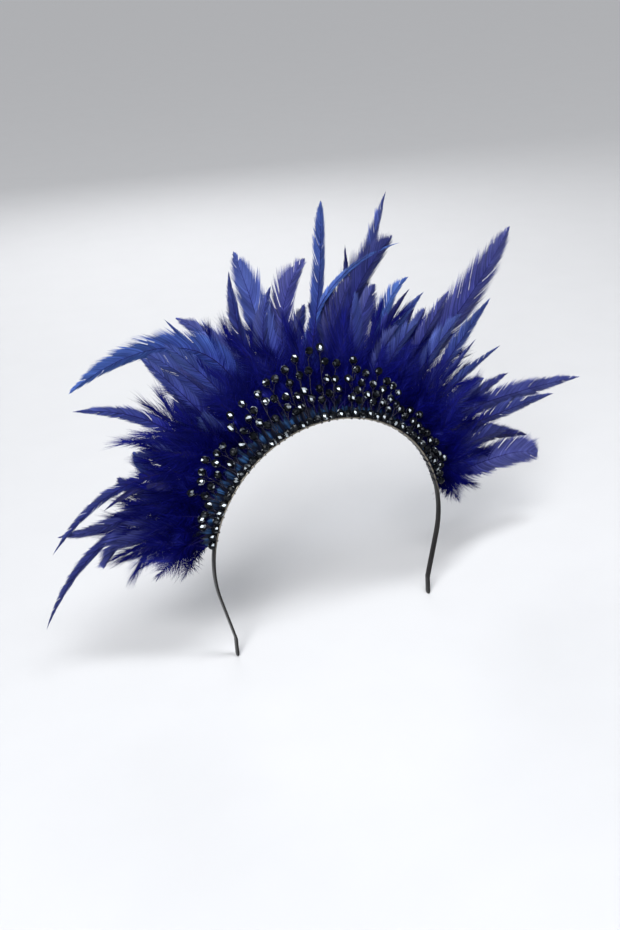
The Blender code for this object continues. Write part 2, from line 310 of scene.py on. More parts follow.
def smooth_path(knots: np.ndarray, count: int) -> np.ndarray:
    """Catmull-Rom curve through knots.

    Args:
        knots: points that the curve passes.
        count: points in each span.

    Returns:
        The curve's points.
    """
    padded = np.concatenate([[2 * knots[0] - knots[1]], knots, [2 * knots[-1] - knots[-2]]])
    share = np.linspace(0, 1, count, endpoint=False)[:, None]
    spans = []
    for a, b, c, d in zip(padded, padded[1:], padded[2:], padded[3:]):
        spans.append(0.5 * (2 * b + (c - a) * share + (2 * a - 5 * b + 4 * c - d) * share ** 2
                            + (3 * b - a - 3 * c + d) * share ** 3))
    return np.concatenate(spans + [knots[-1:]])


def add_twisted_pair(soup: Soup, path: np.ndarray, strand: float, pitch: float,
                     phase: float) -> None:
    """Add two fine wires twisted round a path.

    Args:
        soup: where the wires go.
        path: points of the common centre line.
        strand: radius of one wire.
        pitch: length of one full turn.
        phase: turn at the start, in radians.
    """
    points_a_turn = 5
    line = resample(path, pitch / points_a_turn)
    side, normal = path_axes(line)
    turn = (2 * pi * distances(line) / pitch + phase)[:, None]
    for half_turn in (0.0, pi):
        wave = side * np.cos(turn + half_turn) + normal * np.sin(turn + half_turn)
        add_tube(soup, line + wave * strand, strand, 4)


class NodeBuilder:
    """Short calls for laying out a procedural material's nodes."""

    def __init__(self, name: str) -> None:
        """Start a material with its Principled shader.

        Args:
            name: the material's name.
        """
        self.material = bpy.data.materials.new(name)
        self.material.use_nodes = True
        self.tree = self.material.node_tree
        self.shader = self.tree.nodes["Principled BSDF"]

    def set(self, **inputs: float) -> "NodeBuilder":
        """Set plain values on the shader's own sockets.

        Args:
            inputs: socket names with underscores for spaces, and their values.

        Returns:
            This builder.
        """
        for name, value in inputs.items():
            self.shader.inputs[name.replace("_", " ")].default_value = value
        return self

    def node(self, kind: str, **settings: str) -> bpy.types.Node:
        """Add a node.

        Args:
            kind: the node's type name.
            settings: properties of the node.

        Returns:
            The node.
        """
        node = self.tree.nodes.new(kind)
        for name, value in settings.items():
            setattr(node, name, value)
        return node

    def link(self, source: Socket, target: Socket) -> None:
        """Join two sockets.

        Args:
            source: the socket that gives the value.
            target: the socket that takes it.
        """
        self.tree.links.new(source, target)

    def coordinates(self, scale: tuple) -> Socket:
        """Object coordinates, scaled.

        Args:
            scale: factors along x, y and z.

        Returns:
            The coordinates' socket.
        """
        where = self.node("ShaderNodeTexCoord")
        mapping = self.node("ShaderNodeMapping")
        mapping.inputs["Scale"].default_value = scale
        self.link(where.outputs["Object"], mapping.inputs["Vector"])
        return mapping.outputs["Vector"]

    def noise(self, scale: float, detail: float, stretch: tuple = (1, 1, 1)) -> Socket:
        """Noise in object coordinates.

        Args:
            scale: how fine it is.
            detail: how many finer layers it has.
            stretch: factors along x, y and z.

        Returns:
            The noise's value socket.
        """
        noise = self.node("ShaderNodeTexNoise")
        noise.inputs["Scale"].default_value = scale
        noise.inputs["Detail"].default_value = detail
        self.link(self.coordinates(stretch), noise.inputs["Vector"])
        return noise.outputs["Fac"]

    def lines(self, source: Socket, scale: float, detail: float) -> Socket:
        """Uneven lines across a running value.

        Args:
            source: the running value.
            scale: how many lines stand in one unit of it.
            detail: how many finer layers they have.

        Returns:
            The lines' value socket.
        """
        noise = self.node("ShaderNodeTexNoise", noise_dimensions="1D")
        noise.inputs["Scale"].default_value = scale
        noise.inputs["Detail"].default_value = detail
        self.link(source, noise.inputs["W"])
        return noise.outputs["Fac"]

    def value(self, name: str) -> Socket:
        """A per-vertex value of the mesh."""
        return self.node("ShaderNodeAttribute", attribute_name=name).outputs["Fac"]

    def ramp(self, source: Socket, stops: tuple) -> Socket:
        """Colours along a value.

        Args:
            source: the value, from 0 to 1.
            stops: pairs of a position and a linear colour.

        Returns:
            The colour socket.
        """
        ramp = self.node("ShaderNodeValToRGB")
        elements = ramp.color_ramp.elements
        while len(elements) < len(stops):
            elements.new(0.5)
        for element, (position, colour) in zip(elements, stops):
            element.position = position
            element.color = (*colour, 1.0)
        self.link(source, ramp.inputs["Fac"])
        return ramp.outputs["Color"]

    def remap(self, source: Socket, low: float, high: float) -> Socket:
        """Spread a value from 0 to 1 over another range.

        Args:
            source: the value.
            low: what 0 becomes.
            high: what 1 becomes.

        Returns:
            The new value's socket.
        """
        remap = self.node("ShaderNodeMapRange")
        remap.inputs["To Min"].default_value = low
        remap.inputs["To Max"].default_value = high
        self.link(source, remap.inputs["Value"])
        return remap.outputs["Result"]

    def mix(self, first: Paint, second: Paint, share: Union[Socket, float],
            blend: str = "MIX") -> Socket:
        """Mix two colours.

        Args:
            first: colour socket or linear colour.
            second: colour socket or linear colour.
            share: value socket or number.
            blend: Blender's name of the blend.

        Returns:
            The colour socket.
        """
        mix = self.node("ShaderNodeMix", data_type="RGBA", blend_type=blend)
        share_in, first_in, second_in = mix.inputs[0], mix.inputs[6], mix.inputs[7]
        for socket, source in ((share_in, share), (first_in, first), (second_in, second)):
            if isinstance(source, Socket):
                self.link(source, socket)
            else:
                socket.default_value = (*source, 1.0) if isinstance(source, tuple) else source
        colour_out = mix.outputs[2]
        return colour_out

    def bump(self, height: Socket, strength: float, distance: float) -> None:
        """Feed a height into the shader's normal.

        Args:
            height: the height's socket, from 0 to 1.
            strength: how strongly it shows.
            distance: how high 1 stands.
        """
        bump = self.node("ShaderNodeBump")
        bump.inputs["Strength"].default_value = strength
        bump.inputs["Distance"].default_value = distance
        self.link(height, bump.inputs["Height"])
        self.link(bump.outputs["Normal"], self.shader.inputs["Normal"])

    def colour(self, source: Socket) -> None:
        """Feed the base colour."""
        self.link(source, self.shader.inputs["Base Color"])

    def roughness(self, source: Socket) -> None:
        """Feed the roughness."""
        self.link(source, self.shader.inputs["Roughness"])


@dataclass(frozen=True)
class GunmetalSteel:
    """Dark spring steel, drawn lengthwise, with a painted pale highlight along the front edge of the
    arch.
    """

    dark: tuple = (0.018, 0.017, 0.017)
    light: tuple = (0.058, 0.055, 0.054)
    # pale colour of the painted highlight on the band's front edge
    painted_edge_glint: tuple = (0.250, 0.226, 0.188)

    def make(self) -> bpy.types.Material:
        """Lay out the material.

        Returns:
            The material.
        """
        nodes = NodeBuilder("gunmetal_steel").set(Metallic=0.9)
        streaks = nodes.noise(scale=900.0, detail=3.0, stretch=(1.0, 6.0, 1.0))
        patches = nodes.noise(scale=90.0, detail=4.0)
        tone = nodes.mix(self.dark, self.light, nodes.remap(patches, low=-0.2, high=0.7))
        tone = nodes.mix(tone, self.light, nodes.remap(streaks, low=-0.5, high=0.5))
        # painted highlight: the arch's front edge takes the pale colour
        nodes.colour(nodes.mix(tone, self.painted_edge_glint, nodes.value("painted_edge_glint")))
        nodes.roughness(nodes.remap(streaks, low=0.22, high=0.48))
        nodes.bump(streaks, strength=0.15, distance=0.02 * MM)
        return nodes.material


@dataclass(frozen=True)
class HematiteCrystal:
    """Cut crystal under a near-black coat, with painted glints: a pale colour mixed in by each
    facet's shade value stands in for reflections of the lamps.
    """

    black: tuple = (0.0008, 0.0012, 0.0025)
    # colour of the painted glints on the brightest facets
    glint: tuple = (0.820, 0.910, 1.000)

    def make(self) -> bpy.types.Material:
        """Lay out the material.

        Returns:
            The material.
        """
        nodes = NodeBuilder("hematite_crystal").set(Specular_IOR_Level=0.05)
        cloud = nodes.noise(scale=500.0, detail=2.0)
        # painted glints: the shade value mixes each facet from black towards the glint colour
        tone = nodes.mix(self.black, self.glint, nodes.value("shade"))
        nodes.colour(nodes.mix(tone, self.black, nodes.remap(cloud, low=-0.2, high=0.5)))
        nodes.roughness(nodes.remap(cloud, low=0.07, high=0.16))
        return nodes.material


@dataclass(frozen=True)
class CraftWire:
    """Fine lacquered wire, dark with a violet cast and worn bright in places."""

    lacquer: tuple = (0.005, 0.005, 0.014)
    worn: tuple = (0.045, 0.042, 0.070)

    def make(self) -> bpy.types.Material:
        """Lay out the material.

        Returns:
            The material.
        """
        nodes = NodeBuilder("craft_wire").set(Metallic=0.8)
        wear = nodes.noise(scale=700.0, detail=3.0)
        nodes.colour(nodes.mix(self.lacquer, self.worn, nodes.remap(wear, low=-0.5, high=1.1)))
        nodes.roughness(nodes.remap(wear, low=0.22, high=0.40))
        return nodes.material


@dataclass(frozen=True)
class BlueSatin:
    """Puffed satin: a smooth warp-faced weave with a soft lengthwise gloss, and painted shade that
    darkens it where the tape is nipped in and in random blotches.
    """

    # shadow is the painted shade of the nips and blotches, face the satin's blue on the puffs
    shadow: tuple = (0.0004, 0.0012, 0.008)
    face: tuple = (0.0240, 0.0850, 0.230)

    def make(self) -> bpy.types.Material:
        """Lay out the material.

        Returns:
            The material.
        """
        nodes = NodeBuilder("blue_satin").set(Specular_IOR_Level=0.20, Anisotropic=0.4)
        weave = nodes.noise(scale=2600.0, detail=2.0, stretch=(1.0, 0.4, 1.0))
        shadow_blotch = nodes.noise(scale=130.0, detail=3.0)
        # painted shade: the less a point is puffed, the nearer it comes to the shadow colour
        puffed = nodes.ramp(nodes.value("shade"), ((0.45, self.shadow), (1.0, self.face)))
        # painted shadow in random blotches over the tape
        nodes.colour(nodes.mix(puffed, self.shadow, nodes.remap(shadow_blotch, low=2.1, high=-0.9)))
        nodes.roughness(nodes.remap(weave, low=0.26, high=0.42))
        nodes.bump(weave, strength=0.2, distance=0.04 * MM)
        return nodes.material


@dataclass(frozen=True)
class RoyalDye:
    """Royal blue dye: deep in the down, lighter towards the thin tips, violet or clear blue; its
    darkest colour, at the feathers' feet, is partly dye and partly painted shade in the crevices.
    """

    # darkest colour at the feathers' feet: partly dye, partly painted shade in the crevices
    crevice: tuple = (0.0008, 0.0008, 0.020)
    down: tuple = (0.0022, 0.0026, 0.075)
    middle: tuple = (0.0080, 0.0100, 0.105)
    violet_tip: tuple = (0.0460, 0.0490, 0.160)
    blue_tip: tuple = (0.0340, 0.0680, 0.215)
    shaft: tuple = (0.0080, 0.0070, 0.045)

    def lay(self, nodes: NodeBuilder) -> Socket:
        """Lay out the dye's colour.

        Args:
            nodes: the material's nodes.

        Returns:
            The colour socket.
        """
        tone = nodes.value("tone")
        shared = ((0.0, self.crevice), (0.32, self.down), (0.62, self.middle))
        violet = nodes.ramp(tone, (*shared, (1.0, self.violet_tip)))
        blue = nodes.ramp(tone, (*shared, (1.0, self.blue_tip)))
        dye = nodes.mix(violet, blue, nodes.value("hue"))
        patches = nodes.remap(nodes.noise(scale=70.0, detail=3.0), low=-0.3, high=0.6)
        uneven = nodes.mix(dye, self.down, patches)
        strands = nodes.remap(nodes.value("shade"), low=0.35, high=1.65)
        return nodes.mix(uneven, strands, 1.0, "MULTIPLY")


@dataclass(frozen=True)
class DyedDown:
    """Matt down and loose barbs."""

    dye: RoyalDye = RoyalDye()

    def make(self) -> bpy.types.Material:
        """Lay out the material.

        Returns:
            The material.
        """
        nodes = NodeBuilder("dyed_down").set(Roughness=0.7, Specular_IOR_Level=0.0)
        lit = self.dye.lay(nodes)
        nodes.colour(nodes.mix(lit, self.dye.shaft, nodes.value("quill")))
        return nodes.material


@dataclass(frozen=True)
class DyedVane:
    """The smooth vane of a hackle, with the fine lines of its hooked barbs and a faint sheen."""

    dye: RoyalDye = RoyalDye()
    barbs_per_mm: float = 0.8

    def make(self) -> bpy.types.Material:
        """Lay out the material.

        Returns:
            The material.
        """
        nodes = NodeBuilder("dyed_vane").set(Roughness=0.45, Specular_IOR_Level=0.12)
        lines = nodes.lines(nodes.value("grain"), self.barbs_per_mm, detail=3.0)
        barbs = nodes.remap(lines, low=-0.1, high=2.1)
        nodes.colour(nodes.mix(self.dye.lay(nodes), barbs, 1.0, "MULTIPLY"))
        nodes.bump(lines, strength=0.3, distance=0.08 * MM)
        return nodes.material


@dataclass(frozen=True)
class StudioPaper:
    """Plain pale floor."""

    pale: tuple = (0.500, 0.505, 0.520)
    mottle: float = 0.96

    def make(self) -> bpy.types.Material:
        """Lay out the material.

        Returns:
            The material.
        """
        nodes = NodeBuilder("studio_paper").set(Roughness=0.8)
        soft = tuple(channel * self.mottle for channel in self.pale)
        nodes.colour(nodes.mix(self.pale, soft, nodes.noise(scale=30.0, detail=4.0)))
        return nodes.material


@dataclass(frozen=True)
class Headband:
    """The steel band: an arch, two straight arms and two rounded tips that turn out.

    Angles are in degrees. The front edge carries a painted highlight up to the first of the two
    counts of points from the top and is left dark past the second, and front_share says which points
    lie on it.
    The tips narrow to twice the value of narrowest, and edges past the crease angle are sharp.
    """

    arch: Arch
    half_angle: float = 103.7
    arm: float = 27.6 * MM
    tip: float = 11.5 * MM
    turn_out: float = 13.7
    corner: float = 0.28 * MM
    narrowest: float = 0.2 * MM
    arch_points: int = 96
    arm_points: int = 12
    tip_points: int = 14
    painted_edge_glint: tuple = (60, 78)
    front_share: float = 0.93
    crease: float = 50.0

    def half_line(self) -> tuple:
        """Right half of the band's middle line, from the top down.

        Returns:
            Points, outward directions and half widths.
        """
        mid = self.arch.outer - self.arch.thickness / 2
        turns = np.radians(np.linspace(0, self.half_angle, self.arch_points))
        points = [np.array((mid * sin(t), 0, mid * cos(t) + self.arch.centre_z)) for t in turns]
        heading = list(turns)
        even = np.linspace(0, 1, self.arm_points + 1)[1:]
        closing = np.sin(np.linspace(0, 1, self.tip_points + 1)[1:] * pi / 2)
        for length, degrees, shares in ((self.arm, self.half_angle, even),
                                        (self.tip, self.half_angle - self.turn_out, closing)):
            turn = radians(degrees)
            start = points[-1]
            forward = np.array((cos(turn), 0, -sin(turn)))
            points += [start + forward * length * share for share in shares]
            heading += [turn] * len(shares)
        points = np.array(points)
        softened = np.convolve(np.pad(heading, 1, "edge"), (0.25, 0.5, 0.25), "valid")
        outward = np.stack([np.sin(softened), 0 * softened, np.cos(softened)], axis=-1)
        half = self.arch.half_width
        rounding = np.clip(half - distances(points[::-1])[::-1], 0, half)
        return points, outward, np.sqrt(np.maximum(half ** 2 - rounding ** 2, self.narrowest ** 2))

    def section(self, half: float) -> list:
        """Rounded section of the strip.

        Args:
            half: half the strip's width there.

        Returns:
            Pairs of (across the band, through its thickness), once round.
        """
        deep = self.arch.thickness / 2
        corner = min(self.corner, half * 0.9)
        pairs = []
        for across, through, start in ((1, 1, 0), (-1, 1, 90), (-1, -1, 180), (1, -1, 270)):
            for step in (0, 45, 90):
                turn = radians(start + step)
                pairs.append((across * (half - corner) + corner * cos(turn),
                              through * (deep - corner) + corner * sin(turn)))
        return pairs

    def build(self, material: bpy.types.Material) -> bpy.types.Object:
        """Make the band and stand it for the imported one.

        Args:
            material: the steel.

        Returns:
            The band.
        """
        points, outward, halves = self.half_line()
        flip = np.array((-1, 1, 1))
        line = np.concatenate([points[:0:-1] * flip, points])
        out = np.concatenate([outward[:0:-1] * flip, outward])
        half = np.concatenate([halves[:0:-1], halves])
        rings = [[p + np.array((0, a, 0)) + o * t for a, t in self.section(h)]
                 for p, o, h in zip(line, out, half)]
        count, sides = len(rings), len(rings[0])
        # painted highlight along the arch's front edge, fading out towards the arms
        on_arch = 1 - ease(np.abs(np.arange(count) - (count - 1) / 2), *self.painted_edge_glint)
        front = -self.front_share * self.arch.half_width
        at_front = np.array([float(a < front) for a, _ in self.section(self.arch.half_width)])
        soup = Soup("painted_edge_glint")
        soup.add(np.array(rings), tube_faces(count, sides), end_faces(count, sides),
                 painted_edge_glint=(on_arch[:, None] * at_front[None, :]).ravel())
        band = soup.to_object("steel_band", [material], smooth=True)
        band.data.set_sharp_from_angle(angle=radians(self.crease))
        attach(band, BODY)
        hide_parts("headband")
        return band


@dataclass(frozen=True)
class Bead:
    """Where one crystal sits, and the line of its hole."""

    centre: np.ndarray
    axis: np.ndarray


@dataclass(frozen=True)
class CrystalCut:
    """A round faceted crystal: staggered rings of flat facets round a drilled hole.

    The widest facets end at the waist and the next ones at the shoulder, each as shares of
    half_length and radius. The facets' brightness is painted reflection: a higher sparkle leaves
    fewer facets with a painted glint, the sheen is the painted sheen that dark ones keep, and body
    is the range of painted light of a whole crystal. The lit share of crystals has one painted glint
    on the facet towards the lamps. Crystals carry painted shade on the right, away from the window.
    """

    radius: float = 2.2 * MM
    half_length: float = 1.95 * MM
    sides: int = 9
    hole: float = 0.45 * MM
    waist: tuple = (0.34, 0.97)
    shoulder: tuple = (0.86, 0.60)
    bore: float = 0.55
    sparkle: float = 20.0
    sheen: float = 0.016
    body: tuple = (0.5, 1.0)
    painted_right_shade: float = 0.45
    painted_right_shade_from: float = 60 * MM
    lit_share: float = 0.78
    lamps: tuple = (-0.45, -0.80, 0.50)
    lamp_scatter: float = 0.22

    def rings(self, bead: Bead, spin: float) -> np.ndarray:
        """Corners of the facets, ring by ring along the hole.

        Args:
            bead: the crystal's place.
            spin: its turn about the hole, in radians.

        Returns:
            Points, with each ring turned half a facet past the last.
        """
        hole = self.hole / self.radius
        half = (self.waist, self.shoulder, (1.0, hole), (self.bore, 0.5 * hole))
        profile = [(-along, share) for along, share in half[::-1]] + list(half)
        any_side = np.array((0.3, 1.0, 0.2))
        axis = unit(bead.axis)
        side = unit(np.cross(axis, any_side))
        up = np.cross(axis, side)
        rings = []
        for level, (along, share) in enumerate(profile):
            turns = spin + 2 * pi * (np.arange(self.sides) + 0.5 * level) / self.sides
            ring = side * np.cos(turns)[:, None] + up * np.sin(turns)[:, None]
            rings.append(bead.centre + axis * along * self.half_length + ring * share * self.radius)
        return np.array(rings)

    def add(self, soup: Soup, bead: Bead, draw: np.random.Generator) -> None:
        """Add one crystal.

        Args:
            soup: where it goes.
            bead: its place.
            draw: the random source for its turn and the light in its facets.
        """
        spin, light = draw.uniform(0, pi), draw.uniform(*self.body)
        # painted shade: crystals grow darker towards the right, away from the window
        light = light * (1 - self.painted_right_shade * ease(bead.centre[0], 0, self.painted_right_shade_from))
        rings = self.rings(bead, spin)
        tris = []
        for low in range(0, (len(rings) - 1) * self.sides, self.sides):
            high = low + self.sides
            for i in range(self.sides):
                j = (i + 1) % self.sides
                tris += [(low + i, low + j, high + i), (low + j, high + j, high + i)]
        facets = rings.reshape(-1, 3)[np.array(tris)]
        first = facets[::2]
        normals = unit(np.cross(first[:, 1] - first[:, 0], first[:, 2] - first[:, 0]))
        outward = np.sum(normals * (first.mean(1) - bead.centre), axis=1, keepdims=True)
        towards = np.array(self.lamps) + draw.normal(0, self.lamp_scatter, 3)
        facing = (normals * np.sign(outward)) @ towards
        luck = draw.uniform(0, 1, (2, len(first)))
        # painted glint on the facet that faces the lamps
        if draw.uniform() < self.lit_share:
            luck[0, facing.argmax()] = 1.0
        # each facet's painted glint and painted sheen
        glow = light * (luck[0] ** self.sparkle + self.sheen * luck[1] ** 2)
        soup.add(facets, tris=np.arange(3 * len(tris)), shade=np.repeat(glow, 6))


@dataclass(frozen=True)
class BeadRow:
    """The row of crystals strung along the band's front edge.

    Crystals sit above and below their string in turn, by the zigzag. Their holes tilt at random
    towards the back and upwards.
    """

    arch: Arch
    cut: CrystalCut = CrystalCut()
    count: int = 43
    end_angle: float = 76.4
    height: float = 2.4 * MM
    depth: float = -2.2 * MM
    zigzag: float = 0.3 * MM
    string: float = 0.22 * MM
    tilt: tuple = (0.12, 0.08)
    seed: int = 11

    def build(self, material: bpy.types.Material) -> bpy.types.Object:
        """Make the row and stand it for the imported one.

        Args:
            material: the crystal.

        Returns:
            The row.
        """
        draw = np.random.default_rng(self.seed)
        back, up = self.tilt
        soup = Soup("shade")
        line = []
        for i in range(self.count):
            angle = self.end_angle * (2 * i / (self.count - 1) - 1)
            height = self.height + self.zigzag * (1 if i % 2 else -1)
            centre = self.arch.at(angle, height, self.depth, lean=0)
            line.append(centre)
            tilt = np.array((0, draw.normal(0, back), draw.normal(0, up)))
            self.cut.add(soup, Bead(centre, self.arch.along(angle) + tilt), draw)
        add_tube(soup, smooth_path(np.array(line), 3), self.string, 5, shade=0.0)
        row = soup.to_object("crystal_row", [material], smooth=False)
        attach(row, BODY)
        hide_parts("bead_row")
        return row


class Side(Enum):
    """The half of the crown that a field of sprays covers."""

    LEFT = "left"
    RIGHT = "right"


@dataclass(frozen=True)
class Spray:
    """One wired stem: its foot's angle, and its beads as (degrees from the foot, height in mm)."""

    foot: float
    beads: tuple


SPRAYS = {
    Side.LEFT: (
        Spray(-70, ((0, 7.5), (3, 9))),
        Spray(-63, ((-2, 8), (2, 8))),
        Spray(-58, ((-1, 19), (0, 12), (4, 11))),
        Spray(-52, ((1, 19), (-2, 17), (3, 11))),
        Spray(-45, ((-2, 21), (-1, 15.5), (2, 8.5))),
        Spray(-41, ((-2, 18), (1.2, 18), (2, 11.5))),
        Spray(-34, ((3, 26.5), (0.5, 21.5), (-1, 10.5))),
        Spray(-29, ((2, 19), (-2, 15.5), (-0.5, 10))),
        Spray(-25, ((-1, 27), (1, 20.5), (0.2, 13.5))),
        Spray(-21, ((1, 26.5), (2, 21), (-2, 10), (2, 10.5))),
        Spray(-14.5, ((-1.5, 29.5), (1.5, 29), (-1.5, 20), (1.5, 12.5))),
        Spray(-10, ((1, 31.5), (1, 24), (-2, 18), (-0.5, 8.5))),
        Spray(-6, ((1, 35), (1, 26), (-2, 16), (-2, 9.5))),
        Spray(-3, ((3, 37), (1.4, 27), (-2, 17.5), (0, 12.5))),
    ),
    Side.RIGHT: (
        Spray(2, ((1.5, 38), (2.5, 30), (2.5, 21), (-1, 16.5), (-1, 10.5))),
        Spray(6, ((2.5, 28.5), (1.5, 20), (2.5, 14.5), (-1.5, 13))),
        Spray(14, ((0.5, 30), (2, 25), (-1.5, 20), (2.5, 14), (0, 10))),
        Spray(19, ((0.5, 23.5), (-1, 18), (2, 12), (-1.5, 8.5))),
        Spray(23, ((1.5, 26), (0, 18.5), (2, 13.5), (1, 9))),
        Spray(27, ((1.5, 22), (0.5, 17), (2, 10))),
        Spray(31, ((0.5, 20.5), (1, 13.5), (1, 7.5))),
        Spray(35, ((-0.5, 18), (0, 12), (3, 10.5))),
        Spray(41, ((1.5, 13), (0, 8.5))),
        Spray(47, ((0.5, 14.5), (-1, 9), (2.5, 9))),
        Spray(54, ((1.5, 10), (-1.5, 8.5))),
        Spray(60, ((2, 11.5), (-1, 9))),
        Spray(65, ((2.2, 9), (-1, 7.5))),
        Spray(70, ((0.5, 11.5), (2, 7.5))),
    ),
}

SPRAY_SEEDS = {Side.LEFT: 21, Side.RIGHT: 22}


@dataclass(frozen=True)
class BeadSprays:
    """A field of crystals on twisted wire stems that fork into twigs.

    Each twig leaves its stem by twig_rise below its bead and ends by the neck, in crystal radii,
    before the bead's centre. Its strands swing out past the shoulder and into the mouth of the
    hole, both in half lengths. The twist along the band is thicker and slower than a stem's.
    """

    arch: Arch
    side: Side
    cut: CrystalCut = CrystalCut()
    depth: float = 0.6 * MM
    base_height: float = 0.8 * MM
    twig_rise: float = 6.5 * MM
    strand: float = 0.16 * MM
    pitch: float = 2.0 * MM
    base_thicker: tuple = (1.35, 1.5)
    end_angle: float = 76.4
    gap: float = 0.4
    lean: tuple = (0.15, 0.25, 0.15)
    twig_bow: float = 0.35 * MM
    neck: float = 1.55
    shoulder: float = 1.16
    mouth: float = 0.8
    loop_swell: tuple = (0.4, 0.62)
    loop_drop: float = 0.12
    lowest_fork: float = 1.5

    def stem_point(self, spray: Spray, height: float) -> np.ndarray:
        """Point on a spray's stem, which bends towards its first bead.

        Args:
            spray: the spray.
            height: leaning height of the point.

        Returns:
            The point.
        """
        swing, top = spray.beads[0]
        share = (height - self.base_height) / (top * MM - self.base_height)
        return self.arch.at(spray.foot + swing * share ** 2, height, self.depth)

    def add_loop(self, wires: Soup, fork: np.ndarray, bead: Bead) -> None:
        """Add the two strands that leave a twig's end and enter a bead's hole on each side.

        Args:
            wires: where the strands go.
            fork: the end of the twist.
            bead: the bead that they hold.
        """
        axis = unit(bead.axis)
        rise = bead.centre - fork
        up, wide = self.loop_swell
        for sign in (-1, 1):
            out = axis * sign
            knots = np.array((fork,
                              fork + rise * up + out * self.cut.radius * wide,
                              bead.centre + out * self.cut.half_length * self.shoulder
                              - rise * self.loop_drop,
                              bead.centre + out * self.cut.half_length * self.mouth))
            add_tube(wires, smooth_path(knots, 3), self.strand, 4)

    def add_spray(self, wires: Soup, stones: Soup, spray: Spray,
                  draw: np.random.Generator) -> None:
        """Add one spray: a stem to its first bead, and a twig off the stem to each other one.

        Args:
            wires: where the wires go.
            stones: where the crystals go.
            spray: the spray.
            draw: the random source.
        """
        for order, (swing, height) in enumerate(spray.beads):
            centre = self.arch.at(spray.foot + swing, height * MM, self.depth)
            lean = np.array([draw.normal(0, turn) for turn in self.lean])
            bead = Bead(centre, self.arch.along(spray.foot + swing) + lean)
            start = max(height * MM - self.twig_rise, self.lowest_fork * self.base_height)
            halfway = self.base_height + (start - self.base_height) * 0.5
            heights = (start,) if order else (self.base_height, halfway, start)
            knots = [self.stem_point(spray, up) for up in heights]
            end = centre - unit(centre - knots[-1]) * self.cut.radius * self.neck
            bow = self.arch.along(spray.foot) * draw.normal(0, self.twig_bow)
            knots += [(knots[-1] + end) / 2 + bow, end]
            line = smooth_path(np.array(knots), 6)
            add_twisted_pair(wires, line, self.strand, self.pitch, draw.uniform(0, pi))
            self.add_loop(wires, end, bead)
            self.cut.add(stones, bead, draw)

    def build(self, wire: bpy.types.Material, crystal: bpy.types.Material) -> tuple:
        """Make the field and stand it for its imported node.

        Args:
            wire: material of the wires.
            crystal: material of the crystals.

        Returns:
            The wires and the crystals.
        """
        draw = np.random.default_rng(SPRAY_SEEDS[self.side])
        wires = Soup()
        stones = Soup("shade")
        for spray in SPRAYS[self.side]:
            self.add_spray(wires, stones, spray, draw)
        left = self.side is Side.LEFT
        ends = (-self.end_angle, -self.gap) if left else (self.gap, self.end_angle)
        base = self.arch.at(np.linspace(*ends, 90), self.base_height, self.depth)
        thicker, slower = self.base_thicker
        add_twisted_pair(wires, base, thicker * self.strand, slower * self.pitch, 0.0)
        node = f"bead_sprays_{self.side.value}"
        made = (wires.to_object(f"spray_wires_{self.side.value}", [wire], smooth=True),
                stones.to_object(f"spray_crystals_{self.side.value}", [crystal], smooth=False))
        for piece, finish in zip(made, ("steel", "crystal")):
            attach(piece, BODY)
            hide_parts(node)
        return made


@dataclass(frozen=True)
class BindingWire:
    """Fine wire wound round the band between the crystals, which ties the trim to it.

    It crosses the trim at points given as shares of the rise and of the band's half width. The
    spacing lies between windings and the advance between the turns of one, in degrees.
    """

    arch: Arch
    radius: float = 0.14 * MM
    spacing: float = 3.638
    end_angle: float = 74.6
    rise: float = 1.1 * MM
    over: tuple = ((0.3, 1.0), (1.0, 0.5), (0.8, -0.4), (0.0, -1.0))
    clearance: float = 1.4
    advance: float = 0.28
    scatter: float = 0.3
    most_turns: int = 3
    seed: int = 31

    def build(self, material: bpy.types.Material) -> bpy.types.Object:
        """Make the windings.

        Args:
            material: the wire.

        Returns:
            The windings.
        """
        draw = np.random.default_rng(self.seed)
        soup = Soup()
        under = -self.arch.thickness - self.radius * self.clearance
        side = self.arch.half_width + self.radius * self.clearance
        section = [(under, -side), (under, 0.0), (under, side)]
        section += [(self.rise * up, side * across) for up, across in self.over]
        angle = -self.end_angle
        while angle < self.end_angle:
            turns = draw.integers(1, self.most_turns + 1)
            start = angle + draw.normal(0, self.scatter)
            knots = [self.arch.at(start + self.advance * (turn + k / len(section)), height, depth,
                                  lean=0)
                     for turn in range(turns) for k, (height, depth) in enumerate(section)]
            add_tube(soup, smooth_path(np.array(knots), 2), self.radius, 4)
            angle += self.spacing
        windings = soup.to_object("binding_wire", [material], smooth=True)
        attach(windings, BODY)
        return windings


class Ripple(NamedTuple):
    """A run of soft creases in the satin, by degrees along the tape and share of its height."""

    size: float
    closeness: float
    slant: float
    wander: float
    wander_closeness: float


